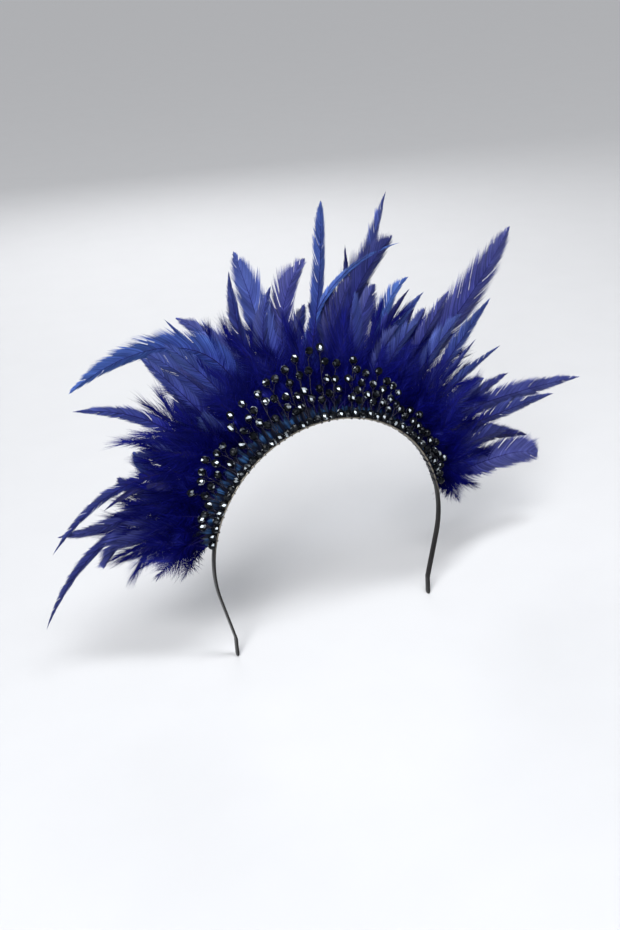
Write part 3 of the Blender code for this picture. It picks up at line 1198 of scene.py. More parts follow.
@dataclass(frozen=True)
class SatinTape:
    """The puffed satin tape that heads the feathers, nipped in by the wires that cross it.

    Nips are spaced and as wide as said in degrees, unevenly by the first value of nip_scatter and
    slanted by the second. Between them lie the puffs, creased by the ripples.
    """

    arch: Arch
    end_angle: float = 79.0
    low: float = -0.6 * MM
    high: float = 10.4 * MM
    depth_low: float = 2.95 * MM
    depth_high: float = 3.55 * MM
    behind: float = 0.25 * MM
    thickness: float = 0.35 * MM
    puff: float = 0.75 * MM
    fullness: float = 0.85
    nip_spacing: float = 4.4
    nip_scatter: tuple = (0.9, 1.1)
    nip_depth: tuple = (0.6, 1.0)
    nip_width: float = 0.75
    narrowing: float = 0.10
    ripples: tuple = (Ripple(0.20, 4.3, 6, 3, 0.7), Ripple(0.14, 8.7, 11, 2, 1.3))
    rows: int = 15
    columns: int = 640
    seed: int = 41

    def gathers(self, where: np.ndarray, share: np.ndarray,
                draw: np.random.Generator) -> np.ndarray:
        """How far the tape is nipped in at each point.

        Args:
            where: angles of the points, by column and row.
            share: share of the height of each row.
            draw: the random source.

        Returns:
            Values from 0 to 1 by column and row.
        """
        nips = np.arange(-self.end_angle, self.end_angle + 1, self.nip_spacing)
        uneven, slanting = self.nip_scatter
        nips = nips + draw.normal(0, uneven, len(nips))
        slants = draw.normal(0, slanting, len(nips))
        depths = draw.uniform(*self.nip_depth, len(nips))
        gather = np.zeros_like(where)
        for nip, slant, deep in zip(nips, slants, depths):
            away = where - (nip + slant * (share - 0.5))
            gather = np.maximum(gather, deep * np.exp(-(away / self.nip_width) ** 2))
        return gather

    def face(self) -> tuple:
        """Lay out the tape's front surface.

        Returns:
            An array of points by column and row, and how far each is puffed, from 0 to 1.
        """
        angles = np.linspace(-self.end_angle, self.end_angle, self.columns)
        share = np.linspace(0, 1, self.rows)
        where = angles[:, None] + 0 * share
        gather = self.gathers(where, share, np.random.default_rng(self.seed))
        full = self.fullness
        for ripple in self.ripples:
            wander = ripple.wander * np.sin(where * ripple.wander_closeness)
            full = full + ripple.size * np.sin(where * ripple.closeness + wander
                                               + ripple.slant * share)
        crown = np.sin(pi * np.clip(share, 0.02, 0.98)) ** 0.6
        puff = np.clip((1 - gather) * crown * full, 0, 1.2)
        middle = (self.low + self.high) / 2
        height = self.low + (self.high - self.low) * share
        height = middle + (height - middle) * (1 - self.narrowing * gather)
        depth = self.depth_low + (self.depth_high - self.depth_low) * np.sqrt(share)
        points = self.arch.at(where, height, depth + self.behind - self.puff * puff)
        return points, puff

    def build(self, material: bpy.types.Material) -> bpy.types.Object:
        """Args:
            material: the satin.

        Returns:
            The tape.
        """
        points, puff = self.face()
        lean = radians(self.arch.lean)
        turns = np.radians(np.linspace(-self.end_angle, self.end_angle, self.columns))
        back = np.stack([-sin(lean) * np.sin(turns), cos(lean) + 0 * turns,
                         -sin(lean) * np.cos(turns)], axis=-1)[:, None] * self.thickness
        ring = np.concatenate([points, (points + back)[:, ::-1]], axis=1)
        sides = 2 * self.rows
        caps = []
        for first in (0, (self.columns - 1) * sides):
            caps += [(first + k, first + k + 1, first + sides - 2 - k, first + sides - 1 - k)
                     for k in range(self.rows - 1)]
        soup = Soup("shade")
        faces = np.concatenate([tube_faces(self.columns, sides), np.array(caps)])
        # the puff value also drives the satin's painted shade in the nips
        soup.add(ring, faces, shade=np.concatenate([puff, puff[:, ::-1]], axis=1).ravel())
        tape = soup.to_object("puffed_tape", [material], smooth=True)
        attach(tape, BODY)
        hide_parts("satin_tape")
        return tape


class Cut(Enum):
    """The kind of feather, by how much of it is firm vane and how that vane ends."""

    SLENDER = "slender"
    BROAD = "broad"
    FULL = "full"
    BLUNT = "blunt"
    DOWNY = "downy"
    TUFT = "tuft"


@dataclass(frozen=True)
class Barbing:
    """How one kind of feather is barbed from foot to tip.

    Attributes:
        fluff_end: distance along the quill at which the down ends.
        fluff_share: the most of the quill that the down takes.
        vane_start: share of the quill at which the firm vane starts.
        fluff_reach: how far the down stands out on each side.
        loose_reach: how far the loose barbs above the down stand out.
        fullness: how soon the vane widens behind its tip; 1 is a plain taper.
        hooked: share of a loose barb that still clings to its neighbours.
        round_tip: True if the loose barbs stay long and fan round the tip.
    """

    fluff_end: float
    fluff_share: float
    vane_start: float
    fluff_reach: float
    loose_reach: float
    fullness: float
    hooked: float
    round_tip: bool = False

    def fluff_length(self, length: float) -> float:
        """Distance along a quill of this length at which the down ends."""
        return min(self.fluff_end, self.fluff_share * length)


BARBING = {
    Cut.SLENDER: Barbing(28 * MM, 0.40, 0.48, 10 * MM, 9 * MM, 1.5, 0.55),
    Cut.BROAD: Barbing(30 * MM, 0.40, 0.42, 10.5 * MM, 12 * MM, 2.0, 0.65),
    Cut.FULL: Barbing(26 * MM, 0.30, 0.24, 10 * MM, 11 * MM, 2.4, 0.75),
    Cut.BLUNT: Barbing(28 * MM, 0.38, 0.42, 10 * MM, 10 * MM, 3.6, 0.65),
    Cut.DOWNY: Barbing(34 * MM, 0.60, 1.30, 12 * MM, 12.5 * MM, 1.0, 0.35, True),
    Cut.TUFT: Barbing(30 * MM, 0.80, 1.30, 7 * MM, 6 * MM, 1.0, 0.0, True),
}


@dataclass(frozen=True)
class Feather:
    """One feather of the trim.

    Attributes:
        root: angle of its foot on the tape, in degrees.
        tip: angle of its tip.
        height: leaning height of its tip.
        width: width of its vane.
        bow: how late it turns from root to tip; 1 is straight.
        cut: its kind.
        arc: sideways bulge halfway up, in degrees.
        hue: its dye, from 0 for violet to 1 for a clear blue.
        light: how light it shows, about 0: partly its dye, partly painted shade for feathers seen
            edge-on and painted light through thin vanes.
        depth: depth of its quill past the tape.
        roll: turn about the quill, in degrees.
        foot_height: leaning height of its foot.
        foot_depth: depth of its foot.
        front: depth that its down keeps behind.
    """

    root: float
    tip: float
    height: float
    width: float
    bow: float
    cut: Cut
    arc: float = 0.0
    hue: float = 0.5
    light: float = 0.0
    depth: float = 9.5 * MM
    roll: float = 0.0
    foot_height: float = 1.5 * MM
    foot_depth: float = 5.4 * MM
    front: float = 3.3 * MM


class LongFeather(NamedTuple):
    """A row of the table of long feathers: angles in degrees, sizes in mm."""

    root: float
    tip: float
    height: float
    width: float
    bow: float
    arc: float
    cut: Cut
    hue: float
    light: float


LONG_SEEDS = {Side.LEFT: 81, Side.RIGHT: 82}

# Root angle, tip angle, tip height, vane width, bow, sideways arc, kind, hue and light.
LONG_FEATHERS = tuple(LongFeather(*row) for row in (
    (-25.7, -50.4, 98.5, 15, 3.5, 3.4, Cut.FULL, 1.0, 0.5),
    (-30.5, -28.4, 85, 6, 1.35, 2.2, Cut.SLENDER, 0.7, 0.4),
    (-22, -26.4, 81, 12, 1.4, 3.7, Cut.BROAD, 0.2, 0.6),
    (-26, -23.5, 67.5, 11, 1.3, 3.6, Cut.BROAD, 0.3, 0.2),
    (-17.3, -12.8, 89, 10, 1.4, -0.6, Cut.SLENDER, 0.4, -0.8),
    (-13.8, -10.8, 98, 17, 1.35, 1.8, Cut.BROAD, 0.5, 0.8),
    (-10.3, -5.5, 74.5, 11, 1.55, -3.3, Cut.SLENDER, 0.4, -0.3),
    (-8.8, 3.9, 84, 17, 3.0, 1.9, Cut.BROAD, 0.1, 0.3),
    (-3.7, 6.8, 115.5, 10, 1.3, 4.4, Cut.BLUNT, 0.8, 0.4),
    (9.5, 12.6, 91, 7, 1.3, 2.9, Cut.FULL, 0.1, -1.4),
    (10.2, 19.4, 123.5, 15, 1.3, 3.6, Cut.SLENDER, 0.4, 0.4),
    (8.9, 22.3, 100.5, 22, 1.4, -0.6, Cut.BROAD, 0.2, -0.5),
    (-4.1, 24.3, 98, 4.5, 2.45, 2.7, Cut.FULL, 1.0, 0.8),
    (19.1, 29.2, 81.5, 13, 4.0, 5.0, Cut.SLENDER, 1.0, 1.0),
    (21.4, 30, 75.5, 8, 1.4, 0, Cut.SLENDER, 0.1, -1.5),
    (23, 34.7, 77.5, 9, 1.3, 0.6, Cut.SLENDER, 0.8, 0.1),
    (26.9, 33.8, 67, 9, 1.4, 1.5, Cut.SLENDER, 0.2, -1.5),
    (37.8, 45.0, 141, 26, 1.3, 4.6, Cut.FULL, 0.1, 0.1),
    (48.8, 50.2, 100.5, 12, 1.35, 0.6, Cut.SLENDER, 0.7, -0.3),
    (48.3, 53.5, 76, 5, 1.3, 1.9, Cut.SLENDER, 0.3, -0.4),
    (52.8, 60, 87.5, 8, 1.35, 1.1, Cut.SLENDER, 0.6, 0.0),
    (67.5, 68.0, 86, 10, 1.35, -1.5, Cut.BROAD, 0.2, -0.8),
    (60.1, 78.3, 138.5, 15, 1.25, 3.6, Cut.FULL, 0.2, 0.7),
    (64.4, 78.3, 114, 12, 1.3, 3.4, Cut.SLENDER, 0.3, 0.2),
    (77, 84.8, 88.5, 11, 1.5, -1.5, Cut.SLENDER, 0.1, -1.5),
    (82, 90.4, 98.5, 20, 2.9, 3.4, Cut.BLUNT, 0.1, 0.7),
    (-48.5, -52.9, 91, 9, 1.35, 4.2, Cut.SLENDER, 0.4, -0.3),
    (-51.3, -54, 58, 13, 1.4, 3.4, Cut.DOWNY, 0.3, 0.5),
    (-47.3, -78.4, 79.5, 12, 1.25, -10.8, Cut.BROAD, 0.2, -0.2),
    (-50.6, -81.9, 82.5, 7, 1.3, 2.6, Cut.SLENDER, 0.4, -0.2),
    (-64.7, -71.3, 57.5, 5, 1.7, 6.3, Cut.SLENDER, 0.0, -1.7),
    (-59.1, -98.2, 92, 7.5, 1.25, -1.0, Cut.SLENDER, 0.3, -0.2),
    (-73.4, -86.8, 55.5, 14, 3.5, 0.0, Cut.BROAD, 0.2, -0.3),
    (-74.8, -89.3, 38, 12, 3.0, -1.2, Cut.DOWNY, 0.2, 0.2),
    (-30.2, -35.9, 81, 17, 1.2, 0.9, Cut.BROAD, 0.5, 0.1),
    (-37.6, -36.9, 79, 10, 1.35, 1.2, Cut.BROAD, 0.4, 0.0),
    (73, 79.6, 68.5, 9, 1.4, -2.5, Cut.BROAD, 0.2, -0.8),
    (80.2, 92, 39, 10, 1.3, 1.1, Cut.DOWNY, 0.2, -0.2),
    (14, 20.5, 72, 16, 1.4, 0, Cut.BROAD, 0.2, -0.5),
    (40, 46, 80, 13, 1.3, 1.0, Cut.BROAD, 0.5, 0.4),
    (79, 90, 31, 12, 1.2, 0, Cut.TUFT, 0.1, -0.6),
    (79, 95, 25, 12, 1.2, 0, Cut.TUFT, 0.1, -0.6),
    (78, 87, 36, 12, 1.2, 0, Cut.TUFT, 0.1, -0.6),
    (-79, -92, 26, 12, 1.2, 0, Cut.TUFT, 0.1, -0.4),
    (-78.5, -88, 36, 12, 1.2, 0, Cut.TUFT, 0.1, -0.4),
    (-78, -85, 46, 12, 1.2, 0, Cut.TUFT, 0.1, -0.4),
    (2, 14, 74, 16, 1.4, 2.0, Cut.BROAD, 0.1, -0.4),
    (33, 37, 70, 14, 1.3, 1.0, Cut.BROAD, 0.3, 0.5),
    (57, 63, 66, 13, 1.3, 1.0, Cut.BROAD, 0.2, 0.0),
    (72, 80, 72, 14, 1.3, 1.0, Cut.BROAD, 0.2, -0.2),
    (36, 40, 86, 12, 1.3, 1.0, Cut.BROAD, 0.1, -0.1),
    (-72, -81, 54, 11, 1.3, 0, Cut.BROAD, 0.2, -0.4),
    (-79.5, -92.5, 13, 12, 1.2, 0, Cut.TUFT, 0.1, -0.2),
    (-27, -31.5, 76, 12, 1.3, 0.5, Cut.BROAD, 0.6, 0.2),
))


@dataclass(frozen=True)
class Quill:
    """A feather's quill.

    Attributes:
        line: points of the quill from foot to tip.
        depth: depth of each point before the lean.
        roll: turn of the feather's face about the quill, in radians.
    """

    line: np.ndarray
    depth: np.ndarray
    roll: float

    @property
    def places(self) -> np.ndarray:
        """Distance of each point along the quill."""
        return distances(self.line)

    def read(self, along: np.ndarray) -> tuple:
        """The quill at distances along it.

        Args:
            along: the distances.

        Returns:
            Points, directions ahead, directions across, face directions and depths.
        """
        places = self.places

        def at_feet(values: np.ndarray) -> np.ndarray:
            """Rows of values read at the distances."""
            return np.stack([np.interp(along, places, column) for column in values.T], -1)

        ahead = unit(at_feet(np.gradient(self.line, axis=0)))
        flat = unit(np.cross(ahead, np.array((0.0, 1.0, 0.0))))
        face = np.cross(flat, ahead)
        across = flat * cos(self.roll) + face * sin(self.roll)
        face = face * cos(self.roll) - flat * sin(self.roll)
        return at_feet(self.line), ahead, across, face, np.interp(along, places, self.depth)


@dataclass(frozen=True)
class Zones:
    """Where the barbs of one side stand and what kind each is.

    Attributes:
        along: distance of each barb's foot along the quill.
        share: the same as a share of the quill.
        fluff: how downy each barb is, from 0 to 1.
        blade: how much each barb belongs to the firm vane, from 0 to 1.
        reach: how far each barb stands out.
        forward: how far each barb runs towards the tip.
    """

    along: np.ndarray
    share: np.ndarray
    fluff: np.ndarray
    blade: np.ndarray
    reach: np.ndarray
    forward: np.ndarray

    @property
    def loose(self) -> np.ndarray:
        """How much each barb belongs to the loose part between down and vane."""
        return (1 - self.fluff) * (1 - self.blade)


@dataclass(frozen=True)
class Growth:
    """How the barbs of every feather grow out of the quill. Slants are in degrees.

    The down thins between two multiples of its length and opens out between two distances. Round
    a downy tip, barbs slant from the quill by the first value of tip_slant and lose the second
    past the fold. Loose barbs run forwards by a share of their reach, and the vane's by a first
    value and what the tip adds. Loose barbs stand between the bare shares of the quill, sparser
    beside the vane. A late taper is the share of the quill by which every vane narrows.
    """

    down_fade: tuple = (0.75, 1.25)
    vane_fade: tuple = (0.14, 0.10)
    open_out: tuple = (-6 * MM, 14 * MM)
    down_size: tuple = (0.55, 1.12)
    down_forward: tuple = (0.15, 1.0)
    tip_slant: tuple = (64, 58)
    tip_fold: float = 0.30
    tip_scatter: float = 5
    tip_size: tuple = (0.72, 1.08)
    loose_width: float = 1.15
    loose_forward: float = 1.15
    loose_scatter: float = 0.06
    late_taper: float = 0.9
    vane_forward: tuple = (1.5, 1.1)
    bare: tuple = (0.03, 0.995)
    sparse: float = 2.5
    foot_scatter: float = 0.25


@dataclass(frozen=True)
class BarbCurve:
    """How a barb curves, mostly as powers of the share of its length; 1 is straight.

    Its points crowd towards the foot by the spacing. It runs out from the quill, turns forward to
    the tip, lifts off the feather's plane and gathers into its clump, to which loose barbs and
    then the vane's cling. Limp barbs have the given number of waves.
    """

    points: int = 5
    spacing: float = 1.1
    out: float = 0.92
    forward: float = 1.35
    lift: float = 1.5
    gather: int = 2
    waves: float = 0.9
    cling: tuple = (0.6, 0.35)


@dataclass(frozen=True)
class LooseHabit:
    """How down and loose barbs are shaped, each a ribbon in a clump of several.

    Lifts are shares of a barb's reach off the feather's plane: a spread for down, a middle and a
    spread for loose barbs, and one value beside the vane. Limp and twist say how wavy ribbons are
    and how far they turn, for down, loose barbs and beside the vane in that order. Breadths are
    halves, and thinning is what a tip loses of them and what loose barbs lose besides.
    """

    clump: int = 7
    clump_length: float = 0.05
    length: float = 0.04
    down_lift: float = 0.55
    loose_lift: tuple = (0.05, 0.14)
    vane_lift: float = 0.26
    lift_cap: float = 1.1
    limp: tuple = (0.13, 0.03)
    twist: tuple = (0.65, 0.20, 0.10)
    down_breadth: float = 0.15 * MM
    loose_breadth: float = 0.11 * MM
    thinning: tuple = (0.50, 0.25)
    shortest: float = 1 * MM


@dataclass(frozen=True)
class VaneHabit:
    """How the hooked vane is shaped, from its start in lengths of the down to its end.

    Its outline is evened out over neighbouring barbs, loses a share in the down and frays by
    clump and by barb, more in the looser part. Its edges rise by the cup's two values: in the
    blade, and all over. Parting gives the odds of a gap beside a clump, in the looser part and
    in the blade, and the looser part is darker.
    """

    start: float = 0.8
    end: float = 0.998
    gap: float = 0.60 * MM
    clump: float = 2.6 * MM
    evened: int = 5
    down_loss: float = 0.5
    clump_fray: float = 0.07
    fray: tuple = (0.05, 0.05)
    cup: tuple = (0.36, 0.05)
    clump_lift: float = 0.06
    parting: tuple = (0.70, 0.16)
    darker: float = 0.10


@dataclass(frozen=True)
class Tones:
    """How light the dye is from the down to the vane's tip, each from 0 to 1.

    The edge is what a barb gains by its own tip, painted light that stands in for light through the
    thin barb ends, and light is how much a feather's own light counts. The foot stays dark, partly by
    its dye and partly as painted shade in the crevices, and down and barb tips are clear by the
    distances given. Past pale_from a strand's shade raises its tone too, by the gain and up to the
    most.
    """

    down: float = 0.29
    loose: float = 0.42
    vane: float = 0.52
    tip: float = 0.36
    edge: float = 0.20
    light: float = 0.11
    dark_foot: float = 4 * MM
    down_clear: float = 34 * MM
    edge_clear: float = 20 * MM
    pale_from: float = 0.85
    pale_most: float = 0.4
    pale_gain: float = 0.5
    brightest: float = 1.2


@dataclass(frozen=True)
class Streaks:
    """How light and dark strands lie side by side.

    A feather's own light counts in its firm barbs and in its down, which stays plain in a feather
    as dark as down_plain. The rest say how much single barbs and clumps differ, and how many
    loose barbs are pale.
    """

    plain: float = 0.45
    light: float = 0.25
    down_light: float = 0.14
    down_plain: float = 0.7
    barb: float = 0.12
    clump: float = 0.08
    vane_barb: float = 0.06
    vane_clump: float = 0.20
    pale_share: float = 0.08
    pale: float = 0.50


@dataclass(frozen=True)
class FeatherMaker:
    """Turns a feather's plan into its quill, its vane and the loose barbs on both sides.

    A quill reaches its own depth by the settle height and curls forwards above. It wanders
    sideways by a few tenths of a degree, and tapers to the first value by the power of the second.
    """

    arch: Arch
    growth: Growth = Growth()
    curve: BarbCurve = BarbCurve()
    loose: LooseHabit = LooseHabit()
    vane: VaneHabit = VaneHabit()
    tones: Tones = Tones()
    streaks: Streaks = Streaks()
    settle_height: float = 26.0 * MM
    curl: float = 10.0 * MM
    curl_height: float = 100.0 * MM
    wander: float = 0.15
    quill_radius: float = 0.40 * MM
    quill_taper: tuple = (0.2, 1.2)
    fluff_gap: float = 0.17 * MM
    loose_gap: float = 0.26 * MM

    def quill(self, feather: Feather, draw: np.random.Generator) -> Quill:
        """Lay the quill from foot to tip.

        Args:
            feather: the feather's plan.
            draw: the random source.

        Returns:
            The quill.
        """
        share = np.linspace(0, 1, 40)
        wave = self.wander * (draw.normal() * np.sin(pi * share)
                              + 0.5 * draw.normal() * np.sin(2 * pi * share))
        angle = feather.root + (feather.tip - feather.root) * share ** feather.bow
        angle = angle + feather.arc * np.sin(pi * share) + wave
        height = feather.foot_height + (feather.height - feather.foot_height) * share
        settle = ease(height - feather.foot_height, 0, self.settle_height)
        depth = feather.foot_depth + (feather.depth - feather.foot_depth) * settle
        depth = depth - self.curl * (height / self.curl_height) ** 2
        return Quill(self.arch.at(angle, height, depth), depth, radians(feather.roll))

    def standing(self, kind: Barbing, along: np.ndarray, length: float) -> tuple:
        """How downy and how firm a feather is at distances along its quill.

        Args:
            kind: the feather's barbing.
            along: the distances.
            length: the quill's length.

        Returns:
            Two arrays from 0 to 1: one for the down and one for the vane.
        """
        fluff_end = kind.fluff_length(length)
        thins, ends = self.growth.down_fade
        before, past = self.growth.vane_fade
        downy = 1 - ease(along, thins * fluff_end, ends * fluff_end)
        firm = ease(along / length, kind.vane_start - before, kind.vane_start + past)
        return downy, firm

    def zones(self, feather: Feather, along: np.ndarray, length: float,
              draw: np.random.Generator) -> Zones:
        """Work out what kind of barb stands at each place along one side.

        Args:
            feather: the feather's plan.
            along: distances of the barbs' feet along the quill.
            length: the quill's length.
            draw: the random source.

        Returns:
            The barbs' places and kinds.
        """
        kind = BARBING[feather.cut]
        grow = self.growth
        share = along / length
        downy, blade = self.standing(kind, along, length)
        fluff = downy * (1 - blade)
        count = len(along)
        half = feather.width / 2
        down = kind.fluff_reach * ease(along, *grow.open_out)
        down = down * draw.uniform(*grow.down_size, count)
        if kind.round_tip:
            slanted, lost = grow.tip_slant
            slant = np.radians(slanted - lost * ease(share, grow.tip_fold, 1.0)
                               + draw.normal(0, grow.tip_scatter, count))
            size = kind.loose_reach * draw.uniform(*grow.tip_size, count)
            loose, onward = size * np.sin(slant), size * np.cos(slant)
        else:
            fluff_end = kind.fluff_length(length)
            middle = np.clip((along - fluff_end) / (kind.vane_start * length - fluff_end), 0, 1)
            loose = kind.loose_reach + (half * grow.loose_width - kind.loose_reach) * middle
            onward = loose * (grow.loose_forward + draw.normal(0, grow.loose_scatter, count))
        left = np.clip((1 - share) / (1 - min(kind.vane_start, grow.late_taper)), 0, 1)
        firm = half * (1 - (1 - left) ** kind.fullness)
        between = (1 - fluff) * (1 - blade)
        reach = down * fluff + loose * between + firm * blade
        swept, more = grow.vane_forward
        forward = (down * fluff * draw.uniform(*grow.down_forward, count) + onward * between
                   + firm * blade * (swept + more * share))
        return Zones(along, share, fluff, blade, reach, forward)

    def barb_feet(self, feather: Feather, length: float, draw: np.random.Generator) -> np.ndarray:
        """Distances along the quill of the loose barbs, close in the down and few in the vane.

        Args:
            feather: the feather's plan.
            length: the quill's length.
            draw: the random source.

        Returns:
            The distances.
        """
        first, last = self.growth.bare
        finer = np.linspace(first * length, last * length, 400)
        downy, firm = self.standing(BARBING[feather.cut], finer, length)
        loose_gap = self.loose_gap * (1 - downy) * (1 + self.growth.sparse * firm)
        gap = self.fluff_gap * downy + loose_gap
        counted = np.concatenate([[0], np.cumsum(np.diff(finer) / gap[1:])])
        along = np.interp(np.arange(0, counted[-1], 1.0), counted, finer)
        uneven = draw.normal(0, self.growth.foot_scatter * self.fluff_gap, len(along))
        return np.clip(along + uneven, 0, length)

    def barb_lines(self, quill: Quill, zones: Zones, sign: int, group: np.ndarray,
                   lift: np.ndarray, limp: np.ndarray, uneven: np.ndarray,
                   draw: np.random.Generator) -> tuple:
        """Centre lines of the barbs on one side.

        Args:
            quill: the feather's quill.
            zones: the barbs' places and kinds.
            sign: -1 or 1 for the side.
            group: number of the clump that each barb leans into.
            lift: how far each barb rises off the feather's plane, as a share of its reach.
            limp: how wavy each barb is.
            uneven: factor on each barb's length.
            draw: the random source.

        Returns:
            Points by barb and step, and the feather's face direction at each barb.
        """
        curve = self.curve
        base, ahead, across, face, _ = quill.read(zones.along)
        count = len(zones.along)
        centre = np.bincount(group, zones.along) / np.maximum(np.bincount(group), 1)
        loose_cling, blade_cling = curve.cling
        cling = loose_cling * zones.loose + blade_cling * zones.blade
        gather = (centre[group] - zones.along) * cling
        u = (np.linspace(0, 1, curve.points) ** curve.spacing)[None, :, None]
        size = (zones.reach * uneven)[:, None, None]
        wave = np.sin(2 * pi * u * curve.waves + draw.uniform(0, 2 * pi, (count, 1, 1)))
        wave = wave * limp[:, None, None] * u
        forward = (zones.forward * uneven)[:, None, None] * u ** curve.forward + size * wave
        forward = forward + gather[:, None, None] * u ** curve.gather
        points = (base[:, None] + across[:, None] * sign * size * u ** curve.out
                  + ahead[:, None] * forward
                  + face[:, None] * size * (lift[:, None, None] * u ** curve.lift + wave))
        return points, face

    def dye(self, feather: Feather, zones: Zones, streak: np.ndarray, out: np.ndarray) -> tuple:
        """How deep the dye sits along each barb, with painted shade at the feet and painted light at
        the barb ends.

        Args:
            feather: the feather's plan.
            zones: the barbs' places and kinds.
            streak: how light each barb is, about 0.5.
            out: share of the barb's length at each of its points.

        Returns:
            Tones and shades by barb and point.
        """
        tones = self.tones
        # painted shade: the tone stays low at the feet, partly dye and partly crevice shade
        lit = tones.down * ease(zones.along, tones.dark_foot, tones.down_clear) * zones.fluff
        lit = lit + tones.loose * zones.loose + (tones.vane + tones.tip * zones.share) * zones.blade
        lit = lit + tones.light * feather.light * (1 - zones.fluff)
        clear = ease(zones.along, tones.dark_foot, tones.edge_clear)
        # painted light: each barb grows lighter towards its end, standing in for light through thin
        # barbs
        tone = lit[:, None] + tones.edge * out * clear[:, None]
        shade = streak[:, None] + 0 * out
        tone = tone + tones.pale_gain * np.clip(shade - tones.pale_from, 0, tones.pale_most)
        return np.clip(tone, 0, 1), np.clip(shade, 0, tones.brightest)

    def loose_streaks(self, feather: Feather, zones: Zones, group_shift: np.ndarray,
                      draw: np.random.Generator) -> np.ndarray:
        """Shade of each loose barb.

        Args:
            feather: the feather's plan.
            zones: the barbs' places and kinds.
            group_shift: the chance share of each barb's clump.
            draw: the random source.

        Returns:
            One value for each barb.
        """
        looks = self.streaks
        count = len(zones.along)
        firm = 1 - zones.fluff
        streak = looks.plain + looks.light * feather.light * firm + draw.normal(0, looks.barb, count)
        streak = streak + looks.down_light * (feather.light + looks.down_plain) * zones.fluff
        streak = streak + looks.clump * group_shift * firm
        return streak + looks.pale * (draw.uniform(0, 1, count) < looks.pale_share)

    def add_loose(self, soup: Soup, feather: Feather, quill: Quill, sign: int,
                  draw: np.random.Generator) -> None:
        """Add the down and the loose barbs of one side, each a fine ribbon that ends in a point.

        Args:
            soup: where they go.
            feather: the feather's plan.
            quill: its quill.
            sign: -1 or 1 for the side.
            draw: the random source.
        """
        habit = self.loose
        per = self.curve.points
        length = quill.places[-1]
        zones = self.zones(feather, self.barb_feet(feather, length, draw), length, draw)
        count = len(zones.along)
        group = np.cumsum(draw.uniform(0, 1, count) < 1 / habit.clump)
        group_shift = draw.normal(0, 1, group[-1] + 1)[group]
        uneven = 1 + habit.clump_length * (1 - zones.fluff) * group_shift
        uneven = uneven + draw.normal(0, habit.length, count)
        room = (quill.read(zones.along)[4] - feather.front) / np.maximum(zones.reach, habit.shortest)
        lift = zones.fluff * draw.normal(0, habit.down_lift, count)
        lift = lift + zones.loose * draw.normal(*habit.loose_lift, count)
        lift = np.clip(lift, -np.maximum(room, 0), habit.lift_cap) + zones.blade * habit.vane_lift
        down_limp, loose_limp = habit.limp
        limp = draw.normal(0, 1, count) * (down_limp * zones.fluff + loose_limp * zones.loose)
        points, face = self.barb_lines(quill, zones, sign, group, lift, limp, uneven, draw)
        kinds = (zones.fluff, zones.loose, zones.blade)
        twist = sum(turn * kind for turn, kind in zip(habit.twist, kinds))
        facing = face[:, None] + twist[:, None, None] * draw.normal(0, 1, (count, 1, 3))
        edge = unit(np.cross(facing, unit(np.gradient(points, axis=1))))
        breadth = habit.down_breadth * zones.fluff + habit.loose_breadth * (1 - zones.fluff)
        steps = np.linspace(0, 1, per)
        lost, loose_lost = habit.thinning
        thinning = 1 - (lost + loose_lost * zones.loose[:, None, None]) * steps[None, :, None]
        side = edge * breadth[:, None, None] * thinning
        streak = self.loose_streaks(feather, zones, group_shift, draw)

        pairs = np.stack([(points - side)[:, :-1], (points + side)[:, :-1]], axis=2)
        points = np.concatenate([pairs.reshape(count, -1, 3), points[:, -1:]], axis=1)
        stride = points.shape[1]
        first = (np.arange(count) * stride)[:, None]
        cell = np.arange(per - 2)[None, :] * 2
        quads = np.stack([first + cell, first + cell + 1, first + cell + 3, first + cell + 2], -1)
        last = first[:, 0] + stride
        tris = np.stack([last - 3, last - 2, last - 1], axis=-1)
        out = np.concatenate([np.repeat(steps[:-1], 2), [1.0]])[None, :]
        tone, shade = self.dye(feather, zones, streak, out)
        soup.add(points, quads, tris, tone=tone.ravel(), shade=shade.ravel(), hue=feather.hue)

    def add_vane(self, soup: Soup, feather: Feather, quill: Quill, sign: int,
                 draw: np.random.Generator) -> None:
        """Add one side of the vane: barbs hooked into a thin sheet that parts between some of them.

        Args:
            soup: where it goes.
            feather: the feather's plan.
            quill: its quill.
            sign: -1 or 1 for the side.
            draw: the random source.
        """
        kind = BARBING[feather.cut]
        if not kind.hooked:
            return
        habit = self.vane
        per = self.curve.points
        length = quill.places[-1]
        start = habit.start * kind.fluff_length(length)
        along = np.linspace(start, habit.end * length, int((length - start) / habit.gap))
        zones = self.zones(feather, along, length, draw)
        looser = 1 - zones.blade
        count = len(along)
        clump_edge = draw.uniform(0, 1, count) < habit.gap / habit.clump
        group = np.cumsum(clump_edge)
        group_shift = draw.normal(0, 1, group[-1] + 1)[group]
        held = (zones.blade + looser * kind.hooked) * (1 - habit.down_loss * zones.fluff)
        evening = np.full(habit.evened, 1 / habit.evened)
        reach, forward = (held * np.convolve(np.pad(run, habit.evened // 2, "edge"), evening, "valid")
                          for run in (zones.reach, zones.forward))
        firm_fray, loose_fray = habit.fray
        fray = 1 + habit.clump_fray * group_shift
        fray = fray + draw.normal(0, firm_fray + loose_fray * looser, count)
        zones = Zones(along, zones.share, zones.fluff, zones.blade, reach, forward)
        cup, whole = habit.cup
        lift = cup * zones.blade + whole + habit.clump_lift * group_shift * looser
        points, _ = self.barb_lines(quill, zones, sign, group, lift, np.zeros(count), fray, draw)
        looks = self.streaks
        streak = looks.plain + looks.light * feather.light + draw.normal(0, looks.vane_barb, count)
        streak = streak + looks.vane_clump * group_shift
        tone, shade = self.dye(feather, zones, streak, np.linspace(0, 1, per)[None, :])
        tone = tone - habit.darker * looser[:, None]

